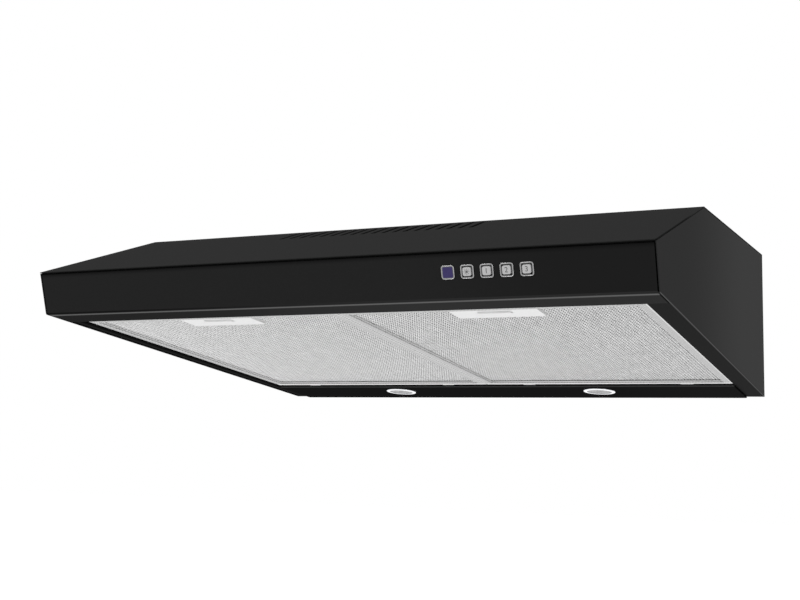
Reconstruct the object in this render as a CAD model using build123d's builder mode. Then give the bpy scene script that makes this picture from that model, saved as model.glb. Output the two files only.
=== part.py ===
"""Slim built-in range hood that is screwed under a wall cabinet.

The frame is +X to the right, +Y to the wall and +Z up, in millimetres. The
origin is the centre of the four cabinet screw holes, on the top face.
"""

from build123d import *
import os
from math import asin, atan2, cos, degrees, hypot, radians, sin, sqrt

os.makedirs("parts", exist_ok=True)

# Case
width = 600.0
depth = 500.0
rear_height = 160.0
slope_depth = 179.5
slope_drop = 55.8
front_drop = 39.9
front_setback = 11.0
sheet = 0.8
bend_radius = 2.0
hem_width = 12.0
fold_gap = 0.2
seam_gap = 0.5
front_seam = 1.8
front_end_gap = 1.2
hem_inset = 4.0
origin_to_wall = 160.0

# Underside
front_flange = 35.0
side_flange = 19.0
front_lip_height = 6.0
side_lip_height = 8.0

# Light bar and lamps
bar_depth = 78.2094
bar_drop = 1.8
bar_bend = 1.2
bar_wall_height = 14.0
bar_back_height = 20.0
bar_side_gap = 0.2
bar_wall_gap = 0.3
lamp_spacing = 250.0
lamp_to_wall = 49.7094
lamp_bezel_radius = 18.0
lamp_window_radius = 14.0
lamp_sleeve_radius = 16.5
lamp_flange = 1.0
lamp_housing_height = 12.0
lens_thickness = 1.4

# Grease filters
filter_thickness = 9.0
filter_recess = 1.0
filter_side_gap = 0.8
filter_centre_gap = 1.5
filter_front_gap = 1.5
filter_rear_gap = 3.0
filter_rail = 8.0
filter_leg = 2.2
filter_sheet = 0.8
filter_swing = 60.0
mesh_layers = 3
mesh_thickness = 0.5
mesh_seat = 1.1
tab_width = 14.0
tab_spacing = 180.0
tab_reach = 5.0
tab_slot_height = 4.0
tab_side_gap = 0.5
tab_roll = 1.2

# Filter latch
handle_width = 80.0
handle_depth = 38.7
handle_shift = 4.0
handle_rise = 0.8
handle_height = 5.9
latch_travel = 6.0
latch_width = 60.0
latch_length = 29.0
latch_thickness = 1.5
tongue_width = 40.0
tongue_reach = 3.0
finger_width = 30.0
finger_thickness = 2.0
finger_depth = 2.7
finger_offset = 14.0
latch_ear_height = 2.8
spring_radius = 1.8
spring_wire = 0.6
spring_length = 15.0

# Controls
control_drop = 18.3
control_first = 126.8
control_pitch = 17.1
control_count = 5
bezel_size = 11.2
bezel_flange = 0.7
bezel_body = 10.2
bezel_opening = 9.0
bezel_depth = 5.0
bezel_round = 2.0
opening_round = 0.9
corner_round = 1.5
button_size = 7.2
button_proud = 1.1
button_length = 5.5
button_travel = 2.5
stem_radius = 2.0
stem_into_switch = 3.0
carrier_thickness = 2.5
carrier_height = 20.0
carrier_margin = 14.0
post_radius = 3.0
switch_depth = 18.0
switch_height = 16.0
switch_margin = 9.0

# Vents
vent_count = 19
vent_pitch = 11.4
vent_width = 4.5
vent_length = 38.0
vent_from_bend = 8.0
vent_shift = -10.0

# Duct collar and dampers
duct_radius = 60.0
collar_clearance = 0.5
collar_wall = 2.0
collar_height = 30.0
collar_from_wall = 90.0
collar_overhang = 1.0
collar_flange_thickness = 2.0
damper_level = 8.0
damper_thickness = 1.2
damper_axis_offset = 5.0
damper_rim_gap = 1.0
damper_ledge = 3.0
damper_ledge_thickness = 1.5
damper_bar = 3.0
damper_pin_radius = 1.5
damper_swing = 75.0

# Outlet box and diverter
box_width = 128.0
box_depth = 124.0
box_height = 81.0
plastic = 2.0
boss_height = 3.0
roof_opening_width = 100.0
roof_opening_depth = 66.0
roof_opening_front = 12.0
front_opening_width = 100.0
front_opening_height = 64.0
front_opening_top = 12.0
flap_width = 108.0
flap_length = 71.0
flap_thickness = 1.6
flap_axis_drop = 8.0
flap_axis_back = 5.5
axle_radius = 2.5
lever_hub_radius = 4.5
lever_length = 30.0
lever_width = 6.0
lever_thickness = 5.0
diverter_swing = 90.0

# Air guide to the vents
guide_mouth_depth = 51.0
guide_flare_depth = 60.0
guide_front_margin = 7.0
guide_side_margin = 6.0
guide_front_depth = 40.0

# Blower
impeller_radius = 75.0
blade_inner_radius = 60.0
blade_count = 32
blade_thickness = 1.2
blade_sweep = 11.0
impeller_top = 14.0
blade_height = 56.0
blade_ring_height = 2.0
scroll_clearance = 9.0
scroll_step = 12.0
tongue_angle = 40.0
tongue_radius = 6.0
exit_run = 20.0
fan_to_collar = 90.0
bush_height = 3.2
bush_radius = 7.0
lug_radius = 9.0
lug_reach = 8.0
lug_thickness = 4.0
split_level = 44.0
shell_flange = 4.0
blower_height = 78.0
inlet_radius = 58.0
inlet_lip = 4.0
grille_ring = 14.0
grille_thickness = 3.0
grille_bar = 2.5
grille_rings = 3
grille_spokes = 8

# Motor
motor_radius = 41.0
core_height = 20.0
core_bore = 24.0
air_gap = 0.6
bracket_height = 16.0
bracket_wall = 2.5
bracket_plate = 3.0
winding_height = 8.0
winding_width = 11.0
winding_round = 2.0
bearing_radius = 6.0
bearing_length = 8.0
shaft_radius = 4.0
shaft_clearance = 0.04
hub_radius = 9.0
hub_height = 10.0
dish_gap = 3.0
rotor_overlap = 2.0
nut_size = 6.5
nut_height = 4.0
shaft_end = 2.0
shaft_top_gap = 1.0
press_gap = 0.05
pin_gap = 0.06

# Electrics
terminal_x = 155.0
terminal_y = 118.0
terminal_width = 70.0
terminal_depth = 60.0
terminal_height = 30.0
terminal_lid = 5.0
driver_x = 222.0
driver_y = 5.0
driver_width = 36.0
driver_depth = 90.0
driver_height = 22.0
capacitor_x = 135.0
capacitor_y = -10.0
capacitor_radius = 15.0
capacitor_length = 58.0
capacitor_foot = 3.0
grommet_radius = 7.0
cable_radius = 4.0
lead_radius = 2.5
link_radius = 1.5
lead_inset = 4.5

# Fixings
cabinet_spacing_x = 500.0
cabinet_spacing_y = 200.0
cabinet_hole_radius = 2.75
keyhole_spacing = 400.0
keyhole_drop = 30.0
keyhole_slot = 5.5
keyhole_head = 10.0
keyhole_rise = 10.0
screw_radius = 1.75
screw_head_radius = 3.5
screw_head_height = 2.0
screw_clearance = 0.25
end_screw_length = 6.0
collar_screw_length = 7.0
rubber_hole_gap = 0.5
fit_gap = 0.1
seat_gap = 0.3

# Corners of the side profile, as (y, z)
y_wall = origin_to_wall
y_front = y_wall - depth
corner_front = (y_front, -slope_drop)
corner_nose = (y_front + front_setback, -slope_drop - front_drop)
corner_rear = (y_wall, -rear_height)
corner_wall = (y_wall, 0.0)
corner_bend = (y_front + slope_depth, 0.0)

edges = {
    "front": (corner_front, corner_nose),
    "under": (corner_nose, corner_rear),
    "back": (corner_rear, corner_wall),
    "top": (corner_wall, corner_bend),
    "slope": (corner_bend, corner_front),
}


# Light bar and lamps, as distances along the underside from the front corner
under_length = hypot(corner_rear[0] - corner_nose[0], corner_rear[1] - corner_nose[1])
bar_front = under_length - bar_depth
lamp_along = under_length - lamp_to_wall


def direction(edge):
    """Unit vector along an edge of the side profile, as (y, z)."""
    (y0, z0), (y1, z1) = edges[edge]
    length = hypot(y1 - y0, z1 - z0)
    return (y1 - y0) / length, (z1 - z0) / length


def inward(edge):
    """Unit vector into the case, square to an edge, as (y, z)."""
    dy, dz = direction(edge)
    return -dz, dy


def along(edge, distance, inset=0.0):
    """Point at a distance along an edge and an inset into the case."""
    (y0, z0), _ = edges[edge]
    dy, dz = direction(edge)
    ny, nz = inward(edge)
    return y0 + dy * distance + ny * inset, z0 + dz * distance + nz * inset


def meet(edge_a, inset_a, edge_b, inset_b):
    """Point where two edges meet when each is moved into the case."""
    ay, az = along(edge_a, 0.0, inset_a)
    by, bz = along(edge_b, 0.0, inset_b)
    (dy, dz), (ey, ez) = direction(edge_a), direction(edge_b)
    step = ((by - ay) * ez - (bz - az) * ey) / (dy * ez - dz * ey)
    return ay + dy * step, az + dz * step


def edge_plane(edge, outward):
    """Work plane on an edge: X stays, local Y runs along it, Z in or out."""
    (y0, z0), _ = edges[edge]
    ny, nz = inward(edge)
    side = -1.0 if outward else 1.0
    return Plane(origin=(0, y0, z0), x_dir=(1, 0, 0), z_dir=(0, side * ny, side * nz))


# Local X, then the distance along the underside, then the height above it
under = edge_plane("under", outward=False)
# Local X, then the distance up the front panel from its top edge
front_face = edge_plane("front", outward=True)
slope_start = Plane(
    origin=(0, *corner_front),
    x_dir=(1, 0, 0),
    z_dir=(0, -inward("slope")[0], -inward("slope")[1]),
)
slope_length = hypot(slope_depth, slope_drop)
half_width = width / 2
opening_half = half_width - side_flange


def level(plane, height):
    """The same work plane, moved along its own normal."""
    return plane.offset(height)


def save(builder, name):
    """Labels a finished piece and writes it."""
    builder.part.label = name
    export_step(builder.part, f"parts/{name}.step")


def screw(axis_plane, shank):
    """Pan-head screw: the head sits on the plane, the shank goes down."""
    with BuildPart(Plane.XY, mode=Mode.PRIVATE) as piece:
        with BuildSketch(axis_plane):
            Circle(screw_head_radius)
        extrude(amount=screw_head_height)
        with BuildSketch(axis_plane):
            Circle(screw_radius)
        extrude(amount=-shank)
    return piece.part


# Top panel: slope and flat top in one folded sheet, with a hem behind the front panel
front_direction = direction("front")
hem_corner = meet("front", hem_inset, "slope", sheet)
hem_bottom = (
    hem_corner[0] + front_direction[0] * hem_width,
    hem_corner[1] + front_direction[1] * hem_width,
)
hem_back = (
    hem_bottom[0] + inward("front")[0] * sheet,
    hem_bottom[1] + inward("front")[1] * sheet,
)
duct_bore = duct_radius - collar_clearance - collar_wall
collar_y = y_wall - collar_from_wall
box_front = collar_y - box_depth / 2
box_back = collar_y + box_depth / 2
box_half = box_width / 2
collar_screw_x = box_half - plastic - post_radius
collar_screw_y = box_depth / 2 - plastic - post_radius
cabinet_points = [
    (sx * cabinet_spacing_x / 2, sy * cabinet_spacing_y / 2)
    for sx in (-1, 1)
    for sy in (-1, 1)
]
collar_points = [
    (sx * collar_screw_x, collar_y + sy * collar_screw_y) for sx in (-1, 1) for sy in (-1, 1)
]

# Blower scroll: four arcs about the corners of a small square, each a step larger
fan_y = collar_y - fan_to_collar
half_step = scroll_step / 2
arc_centres = [
    (half_step, -half_step),
    (-half_step, -half_step),
    (-half_step, half_step),
    (half_step, half_step),
]
first_radius = impeller_radius + scroll_clearance - half_step
arc_radii = [first_radius + k * scroll_step for k in range(4)]
tongue_turn = radians(tongue_angle)
tongue_centre = (
    arc_centres[0][0] + (arc_radii[0] + tongue_radius) * cos(tongue_turn),
    arc_centres[0][1] + (arc_radii[0] + tongue_radius) * sin(tongue_turn),
)
exit_low = tongue_centre[1] + tongue_radius
exit_high = arc_centres[3][1] + arc_radii[3]
exit_x = tongue_centre[0] + exit_run
fan_x = -box_half - exit_x


def scroll_outline(grow):
    """Closed outline of the air passage in plan, moved outwards by grow."""
    cx, cy = fan_x, fan_y
    radii = [radius + grow for radius in arc_radii]
    centres = [(cx + x, cy + y) for x, y in arc_centres]
    tongue = (cx + tongue_centre[0], cy + tongue_centre[1])
    with BuildSketch(mode=Mode.PRIVATE) as outline:
        with BuildLine():
            CenterArc(centres[0], radii[0], 0, tongue_angle)
            CenterArc(tongue, tongue_radius - grow, 90, 90 + tongue_angle)
            Polyline(
                (tongue[0], tongue[1] + tongue_radius - grow),
                (cx + exit_x, cy + exit_low - grow),
                (cx + exit_x, cy + exit_high + grow),
                (centres[3][0], cy + exit_high + grow),
            )
            CenterArc(centres[3], radii[3], 90, 90)
            CenterArc(centres[2], radii[2], 180, 90)
            CenterArc(centres[1], radii[1], 270, 90)
        make_face()
    return outline.sketch


def lug_point(arc, angle):
    """Place of a mounting lug just outside the scroll wall."""
    reach = arc_radii[arc] + plastic + lug_reach
    x, y = arc_centres[arc]
    return (
        fan_x + x + reach * cos(radians(angle)),
        fan_y + y + reach * sin(radians(angle)),
    )


lug_points = [
    lug_point(3, 135),
    lug_point(2, 225),
    lug_point(1, 300),
    (fan_x + tongue_centre[0], fan_y + exit_high + plastic + lug_reach),
]

with BuildPart() as top_panel:
    with BuildSketch(Plane.YZ.offset(-half_width)):
        with BuildLine():
            Polyline(
                corner_front,
                meet("front", 0, "slope", sheet),
                meet("slope", sheet, "top", sheet),
                (y_wall, -sheet),
                corner_wall,
                corner_bend,
                close=True,
            )
        make_face()
    extrude(amount=width)
    with BuildSketch(Plane.YZ.offset(-half_width + sheet + fold_gap)):
        with BuildLine():
            Polyline(
                hem_corner,
                hem_bottom,
                hem_back,
                meet("front", hem_inset + sheet, "slope", sheet),
                close=True,
            )
        make_face()
    extrude(amount=width - 2 * (sheet + fold_gap))
    fold_edges = top_panel.edges().filter_by(Axis.X).sort_by_distance((0, *corner_bend))
    fillet(fold_edges[0], bend_radius)
    with BuildSketch(slope_start):
        with Locations((vent_shift, slope_length - vent_from_bend - vent_length / 2)):
            with GridLocations(vent_pitch, 1, vent_count, 1):
                SlotOverall(vent_length, vent_width, rotation=90)
    extrude(amount=-2 * sheet, mode=Mode.SUBTRACT)
    with BuildSketch(Plane.XY):
        with Locations((0, collar_y)):
            Circle(duct_bore)
        with Locations((terminal_x, terminal_y)):
            Circle(grommet_radius)
        with Locations(*cabinet_points):
            Circle(cabinet_hole_radius)
        with Locations(*collar_points, *lug_points):
            Circle(screw_radius + screw_clearance)
    extrude(amount=-2 * sheet, mode=Mode.SUBTRACT)
save(top_panel, "top_panel")

# Front panel: leaning face with returns, the flange under it and the lip for the latches
lip_half = opening_half - sheet - fold_gap
front_half = half_width - sheet - front_end_gap
filter_width = opening_half - filter_side_gap - filter_centre_gap / 2
filter_x = (filter_width + filter_centre_gap) / 2
handle_points = [side * filter_x + handle_shift for side in (-1, 1)]
handle_level = filter_recess + handle_rise
handle_top = handle_level + filter_sheet
front_top = sheet + front_seam
return_top = hem_width + 2 * sheet
control_x = [control_first + k * control_pitch for k in range(control_count)]
with BuildPart() as front_panel:
    with BuildSketch(Plane.YZ.offset(-front_half)):
        with BuildLine():
            Polyline(
                meet("front", 0, "slope", front_top),
                corner_nose,
                along("under", front_flange),
                along("under", front_flange, sheet),
                meet("front", sheet, "under", sheet),
                meet("front", sheet, "slope", front_top + sheet),
                meet("front", hem_inset, "slope", front_top + sheet),
                meet("front", hem_inset, "slope", front_top),
                close=True,
            )
        make_face()
    extrude(amount=2 * front_half)
    nose_edges = front_panel.edges().filter_by(Axis.X).sort_by_distance((0, *corner_nose))
    fillet(nose_edges[0], bend_radius)
    with BuildSketch(Plane.YZ.offset(-lip_half)):
        with BuildLine():
            Polyline(
                along("under", front_flange - sheet, sheet),
                along("under", front_flange, sheet),
                along("under", front_flange, front_lip_height),
                along("under", front_flange - sheet, front_lip_height),
                close=True,
            )
        make_face()
    extrude(amount=2 * lip_half)
    for start in (-front_half, front_half - sheet):
        with BuildSketch(Plane.YZ.offset(start)):
            with BuildLine():
                Polyline(
                    along("front", return_top, sheet),
                    along("front", return_top, sheet + hem_width),
                    meet("front", sheet + hem_width, "under", sheet),
                    meet("front", sheet, "under", sheet),
                    close=True,
                )
            make_face()
        extrude(amount=sheet)
    lip_plane = Plane(
        origin=(0, *along("under", front_flange, handle_top)),
        x_dir=(1, 0, 0),
        z_dir=(0, *direction("under")),
    )
    with BuildSketch(lip_plane.offset(-2 * sheet)):
        with Locations(*[(x, 0) for x in handle_points]):
            Rectangle(
                tongue_width + 4 * seat_gap,
                front_lip_height,
                align=(Align.CENTER, Align.MAX),
            )
    extrude(amount=3 * sheet, mode=Mode.SUBTRACT)
    with BuildSketch(front_face):
        with Locations(*[(x, -control_drop) for x in control_x]):
            Rectangle(bezel_body + 2 * fit_gap, bezel_body + 2 * fit_gap)
    extrude(amount=-2 * sheet, mode=Mode.SUBTRACT)
save(front_panel, "front_panel")

# Light bar outline, used by the side panels and the wiring too
bar_back_y = y_wall - sheet - bar_wall_gap
bar_half = opening_half - bar_side_gap
bar_floor = meet("under", -bar_drop, "back", sheet + bar_wall_gap)
bar_inner = meet("under", -bar_drop + sheet, "back", 2 * sheet + bar_wall_gap)
bar_top_z = bar_floor[1] + bar_back_height
end_screw_along = (bar_front + lamp_along) / 2

# Side panels: plate, lower flange with a lip for the filters, and an upper weld flange
for name, side in (("side_panel_left", -1), ("side_panel_right", 1)):
    with BuildPart() as side_panel:
        with BuildSketch(Plane.YZ.offset(side * (half_width - sheet))):
            with BuildLine():
                Polyline(
                    meet("front", 0, "slope", sheet + seam_gap),
                    corner_nose,
                    meet("back", sheet, "under", 0),
                    meet("back", sheet, "top", sheet + seam_gap),
                    meet("slope", sheet + seam_gap, "top", sheet + seam_gap),
                    close=True,
                )
            make_face()
        extrude(amount=side * sheet)
        nose_edges = side_panel.edges().filter_by(Axis.X).sort_by_distance((0, *corner_nose))
        fillet(nose_edges[0], bend_radius)
        with BuildSketch(Plane.YZ.offset(side * opening_half)):
            with BuildLine():
                Polyline(
                    along("under", front_flange + fold_gap),
                    meet("back", sheet, "under", 0),
                    meet("back", sheet, "under", sheet),
                    along("under", front_flange + fold_gap, sheet),
                    close=True,
                )
            make_face()
        extrude(amount=side * side_flange)
        with BuildSketch(Plane.YZ.offset(side * opening_half)):
            with BuildLine():
                Polyline(
                    along("under", front_flange + fold_gap, sheet),
                    meet("back", sheet, "under", sheet),
                    meet("back", sheet, "under", side_lip_height),
                    along("under", front_flange + fold_gap, side_lip_height),
                    close=True,
                )
            make_face()
        extrude(amount=side * sheet)
        with BuildSketch(Plane.YZ.offset(side * (half_width - sheet - hem_width))):
            with BuildLine():
                Polyline(
                    meet("front", hem_inset + sheet + fold_gap, "slope", sheet),
                    meet("front", hem_inset + sheet + fold_gap, "slope", 2 * sheet),
                    meet("slope", 2 * sheet, "top", 2 * sheet),
                    meet("back", sheet, "top", 2 * sheet),
                    meet("back", sheet, "top", sheet),
                    meet("slope", sheet, "top", sheet),
                    close=True,
                )
            make_face()
        extrude(amount=side * hem_width)
        screw_plane = Plane(
            origin=(side * opening_half, *along("under", end_screw_along, side_lip_height / 2)),
            x_dir=(0, 1, 0),
            z_dir=(side, 0, 0),
        )
        with BuildSketch(screw_plane.offset(-sheet)):
            Circle(screw_radius + screw_clearance)
        extrude(amount=3 * sheet, mode=Mode.SUBTRACT)
    save(side_panel, name)

# Rear panel: flat against the wall, with two keyholes for hanging
with BuildPart() as rear_panel:
    with BuildSketch(Plane.YZ.offset(-half_width)):
        with BuildLine():
            Polyline(
                corner_rear,
                (y_wall, -sheet),
                (y_wall - sheet, -sheet),
                meet("back", sheet, "under", 0),
                close=True,
            )
        make_face()
    extrude(amount=width)
    with BuildSketch(Plane(origin=(0, y_wall, 0), x_dir=(1, 0, 0), z_dir=(0, -1, 0))):
        with GridLocations(keyhole_spacing, 1, 2, 1):
            with Locations((0, -keyhole_drop - keyhole_rise)):
                Circle(keyhole_head / 2)
            with Locations((0, -keyhole_drop - keyhole_rise / 2)):
                SlotCenterToCenter(keyhole_rise, keyhole_slot, rotation=90)
    extrude(amount=2 * sheet, mode=Mode.SUBTRACT)
save(rear_panel, "rear_panel")

# Light bar: an open tray across the rear, with two lamp holes and slots for the filter tabs
lamp_x = (-lamp_spacing / 2, lamp_spacing / 2)
filter_front = front_flange + filter_front_gap
filter_rear = bar_front - filter_rear_gap
filter_length = filter_rear - filter_front
filter_mid = (filter_front + filter_rear) / 2
hinge_along = bar_front + sheet / 2
hinge_height = filter_recess + filter_sheet * 1.5
tab_points = [
    (side * filter_x + end * tab_spacing / 2) for side in (-1, 1) for end in (-1, 1)
]
with BuildPart() as light_bar:
    with BuildSketch(Plane.YZ.offset(-bar_half)):
        with BuildLine():
            Polyline(
                along("under", bar_front, bar_wall_height),
                along("under", bar_front, -bar_drop),
                bar_floor,
                (bar_floor[0], bar_top_z),
                close=True,
            )
        make_face()
    extrude(amount=2 * bar_half)
    bar_edges = light_bar.edges().filter_by(Axis.X)
    fillet(bar_edges.sort_by_distance((0, *along("under", bar_front, -bar_drop)))[0], bar_bend)
    fillet(light_bar.edges().filter_by(Axis.X).sort_by_distance((0, *bar_floor))[0], bar_bend)
    with BuildSketch(Plane.YZ.offset(-bar_half + sheet)):
        with BuildLine():
            Polyline(
                along("under", bar_front + sheet, bar_back_height * 2),
                along("under", bar_front + sheet, -bar_drop + sheet),
                bar_inner,
                (bar_inner[0], bar_inner[1] + bar_back_height * 2),
                close=True,
            )
        make_face()
    extrude(amount=2 * (bar_half - sheet), mode=Mode.SUBTRACT)
    with BuildSketch(level(under, -bar_drop)):
        with Locations(*[(x, lamp_along) for x in lamp_x]):
            Circle(lamp_sleeve_radius + fit_gap)
    extrude(amount=2 * sheet, mode=Mode.SUBTRACT)
    slot_plane = Plane(
        origin=(0, *along("under", bar_front, hinge_height)),
        x_dir=(1, 0, 0),
        z_dir=(0, *direction("under")),
    )
    with BuildSketch(slot_plane.offset(-sheet)):
        with Locations(*[(x, 0) for x in tab_points]):
            Rectangle(tab_width + 2 * tab_side_gap, tab_slot_height)
    extrude(amount=3 * sheet, mode=Mode.SUBTRACT)
    for side in (-1, 1):
        end_plane = Plane(
            origin=(side * bar_half, *along("under", end_screw_along, side_lip_height / 2)),
            x_dir=(0, 1, 0),
            z_dir=(side, 0, 0),
        )
        with BuildSketch(end_plane.offset(-2 * sheet)):
            Circle(screw_radius + screw_clearance)
        extrude(amount=3 * sheet, mode=Mode.SUBTRACT)
save(light_bar, "light_bar")

# Lamps: trim ring from below, lens on its ledge, housing inside its sleeve
sleeve_inner = lamp_sleeve_radius - sheet
for name, x in (("left", lamp_x[0]), ("right", lamp_x[1])):
    lamp_plane = level(under, -bar_drop)
    with BuildPart() as lamp_bezel:
        with BuildSketch(lamp_plane):
            with Locations((x, lamp_along)):
                Circle(lamp_bezel_radius)
                Circle(lamp_window_radius, mode=Mode.SUBTRACT)
        extrude(amount=-lamp_flange)
        rims = lamp_bezel.edges().filter_by(GeomType.CIRCLE).sort_by(SortBy.RADIUS)[-2:]
        fillet(rims.sort_by(Axis(under.origin, under.z_dir))[0], lamp_flange * 0.8)
        with BuildSketch(lamp_plane):
            with Locations((x, lamp_along)):
                Circle(lamp_sleeve_radius)
                Circle(sleeve_inner, mode=Mode.SUBTRACT)
        extrude(amount=lamp_housing_height / 2)
    save(lamp_bezel, f"lamp_bezel_{name}")
    with BuildPart() as lamp_lens:
        with BuildSketch(lamp_plane):
            with Locations((x, lamp_along)):
                Circle(sleeve_inner - fit_gap)
        extrude(amount=lens_thickness)
    save(lamp_lens, f"lamp_lens_{name}")
    with BuildPart() as lamp_housing:
        with BuildSketch(lamp_plane.offset(lens_thickness)):
            with Locations((x, lamp_along)):
                Circle(sleeve_inner - fit_gap)
        extrude(amount=lamp_housing_height - lens_thickness)
    save(lamp_housing, f"lamp_housing_{name}")

# Grease filters: channel frame, mesh pack, pressed handle, sprung latch
latch_level = handle_top + seat_gap
latch_front = front_flange - tongue_reach
latch_plate_front = filter_front + filter_sheet + seat_gap * 4
latch_rear = latch_plate_front + latch_length
finger_along = latch_plate_front + finger_offset
ear_along = latch_plate_front + latch_length / 2
spring_level = latch_level + latch_thickness + fit_gap * 2 + spring_radius
notch_half = handle_width / 2 + 2 * fit_gap
mesh_level = filter_recess + filter_leg + mesh_seat
mesh_top = filter_recess + filter_thickness - filter_sheet - fit_gap
mesh_pitch = (mesh_top - mesh_thickness - mesh_level) / (mesh_layers - 1)
for name, side in (("left", -1), ("right", 1)):
    cx = side * filter_x
    hx = cx + handle_shift
    with BuildPart() as filter_frame:
        with BuildSketch(level(under, filter_recess)):
            with Locations((cx, filter_mid)):
                Rectangle(filter_width, filter_length)
                Rectangle(
                    filter_width - 2 * filter_rail,
                    filter_length - 2 * filter_rail,
                    mode=Mode.SUBTRACT,
                )
        extrude(amount=filter_thickness)
        with BuildSketch(level(under, filter_recess + filter_sheet)):
            with Locations((cx, filter_mid)):
                Rectangle(filter_width - 2 * filter_sheet, filter_length - 2 * filter_sheet)
        extrude(amount=filter_thickness - 2 * filter_sheet, mode=Mode.SUBTRACT)
        with BuildSketch(level(under, filter_recess)):
            with Locations((cx, filter_mid)):
                Rectangle(
                    filter_width - 2 * (filter_rail - filter_sheet),
                    filter_length - 2 * (filter_rail - filter_sheet),
                )
                Rectangle(
                    filter_width - 2 * filter_rail,
                    filter_length - 2 * filter_rail,
                    mode=Mode.SUBTRACT,
                )
        extrude(amount=filter_leg)
        with BuildSketch(level(under, filter_recess + filter_sheet)):
            with Locations(
                *[(cx + end * tab_spacing / 2, filter_rear - filter_sheet) for end in (-1, 1)]
            ):
                Rectangle(
                    tab_width,
                    filter_sheet + filter_rear_gap + sheet + tab_reach,
                    align=(Align.CENTER, Align.MIN),
                )
        extrude(amount=filter_sheet)
        for end in (-1, 1):
            tab_start = cx + end * tab_spacing / 2 - tab_width / 2
            with BuildSketch(Plane.YZ.offset(tab_start)):
                with Locations(along("under", hinge_along, hinge_height)):
                    Circle(tab_roll)
            extrude(amount=tab_width)
        with BuildSketch(level(under, filter_recess + filter_sheet)):
            with Locations((hx, filter_front - filter_sheet)):
                Rectangle(
                    2 * notch_half,
                    filter_rail + 2 * filter_sheet,
                    align=(Align.CENTER, Align.MIN),
                )
        extrude(amount=filter_sheet + latch_thickness + 3 * seat_gap, mode=Mode.SUBTRACT)
    save(filter_frame, f"filter_frame_{name}")
    with BuildPart() as filter_mesh:
        for layer in range(mesh_layers):
            with BuildSketch(level(under, mesh_level + layer * mesh_pitch)):
                with Locations((cx, filter_mid)):
                    Rectangle(
                        filter_width - 2 * (filter_sheet + fit_gap),
                        filter_length - 2 * (filter_sheet + fit_gap),
                    )
                with Locations((hx, filter_front)):
                    Rectangle(
                        handle_width + 4 * fit_gap,
                        handle_depth + fit_gap * 2,
                        align=(Align.CENTER, Align.MIN),
                        mode=Mode.SUBTRACT,
                    )
            extrude(amount=mesh_thickness)
    save(filter_mesh, f"filter_mesh_{name}")
    with BuildPart() as filter_handle:
        with BuildSketch(level(under, handle_level)):
            with Locations((hx, filter_front)):
                Rectangle(handle_width, handle_depth, align=(Align.CENTER, Align.MIN))
        extrude(amount=filter_sheet)
        with BuildSketch(level(under, handle_top)):
            with Locations((hx, filter_front + filter_rail + filter_sheet)):
                Rectangle(
                    handle_width,
                    handle_depth - filter_rail - filter_sheet,
                    align=(Align.CENTER, Align.MIN),
                )
                Rectangle(
                    handle_width - 2 * filter_sheet,
                    handle_depth - filter_rail - 2 * filter_sheet,
                    align=(Align.CENTER, Align.MIN),
                    mode=Mode.SUBTRACT,
                )
        extrude(amount=handle_height)
        with BuildSketch(level(under, handle_top + handle_height)):
            with Locations((hx, filter_front + filter_rail + filter_sheet)):
                Rectangle(
                    handle_width,
                    handle_depth - filter_rail - filter_sheet,
                    align=(Align.CENTER, Align.MIN),
                )
        extrude(amount=filter_sheet)
        with BuildSketch(level(under, handle_level)):
            with Locations((hx, finger_along - seat_gap)):
                Rectangle(
                    finger_width + 2 * seat_gap,
                    finger_thickness + latch_travel + 2 * seat_gap,
                    align=(Align.CENTER, Align.MIN),
                )
        extrude(amount=filter_sheet, mode=Mode.SUBTRACT)
    save(filter_handle, f"filter_handle_{name}")
    with BuildPart() as filter_latch:
        with BuildSketch(level(under, latch_level)):
            with Locations((hx, latch_plate_front)):
                Rectangle(latch_width, latch_length, align=(Align.CENTER, Align.MIN))
            with Locations((hx, latch_front)):
                Rectangle(
                    tongue_width,
                    latch_plate_front - latch_front + filter_sheet,
                    align=(Align.CENTER, Align.MIN),
                )
        extrude(amount=latch_thickness)
        with BuildSketch(level(under, latch_level)):
            with Locations((hx, finger_along)):
                Rectangle(finger_width, finger_thickness, align=(Align.CENTER, Align.MIN))
        extrude(amount=-finger_depth)
        with BuildSketch(level(under, latch_level + latch_thickness)):
            with Locations((hx, ear_along)):
                Rectangle(4 * spring_radius, filter_sheet, align=(Align.CENTER, Align.MAX))
        extrude(amount=latch_ear_height + filter_sheet)
    save(filter_latch, f"filter_latch_{name}")
    with BuildPart() as latch_spring:
        spring_plane = Plane(
            origin=(hx, *along("under", ear_along, spring_level)),
            x_dir=(1, 0, 0),
            z_dir=(0, *direction("under")),
        )
        with BuildSketch(spring_plane):
            Circle(spring_radius)
            Circle(spring_radius - spring_wire, mode=Mode.SUBTRACT)
        extrude(amount=spring_length)
    save(latch_spring, f"latch_spring_{name}")

# Controls: bezels in the front panel, a lens, four buttons and the switches behind
carrier_level = sheet + bezel_depth
carrier_span = (control_count - 1) * control_pitch + 2 * carrier_margin
carrier_mid = (control_x[0] + control_x[-1]) / 2
with BuildPart() as button_bezels:
    with BuildSketch(front_face):
        with Locations(*[(x, -control_drop) for x in control_x]):
            RectangleRounded(bezel_size, bezel_size, bezel_round)
            RectangleRounded(bezel_opening, bezel_opening, opening_round, mode=Mode.SUBTRACT)
    extrude(amount=bezel_flange)
    with BuildSketch(front_face):
        with Locations(*[(x, -control_drop) for x in control_x]):
            Rectangle(bezel_body, bezel_body)
            RectangleRounded(bezel_opening, bezel_opening, opening_round, mode=Mode.SUBTRACT)
    extrude(amount=-carrier_level)
save(button_bezels, "button_bezels")

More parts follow.
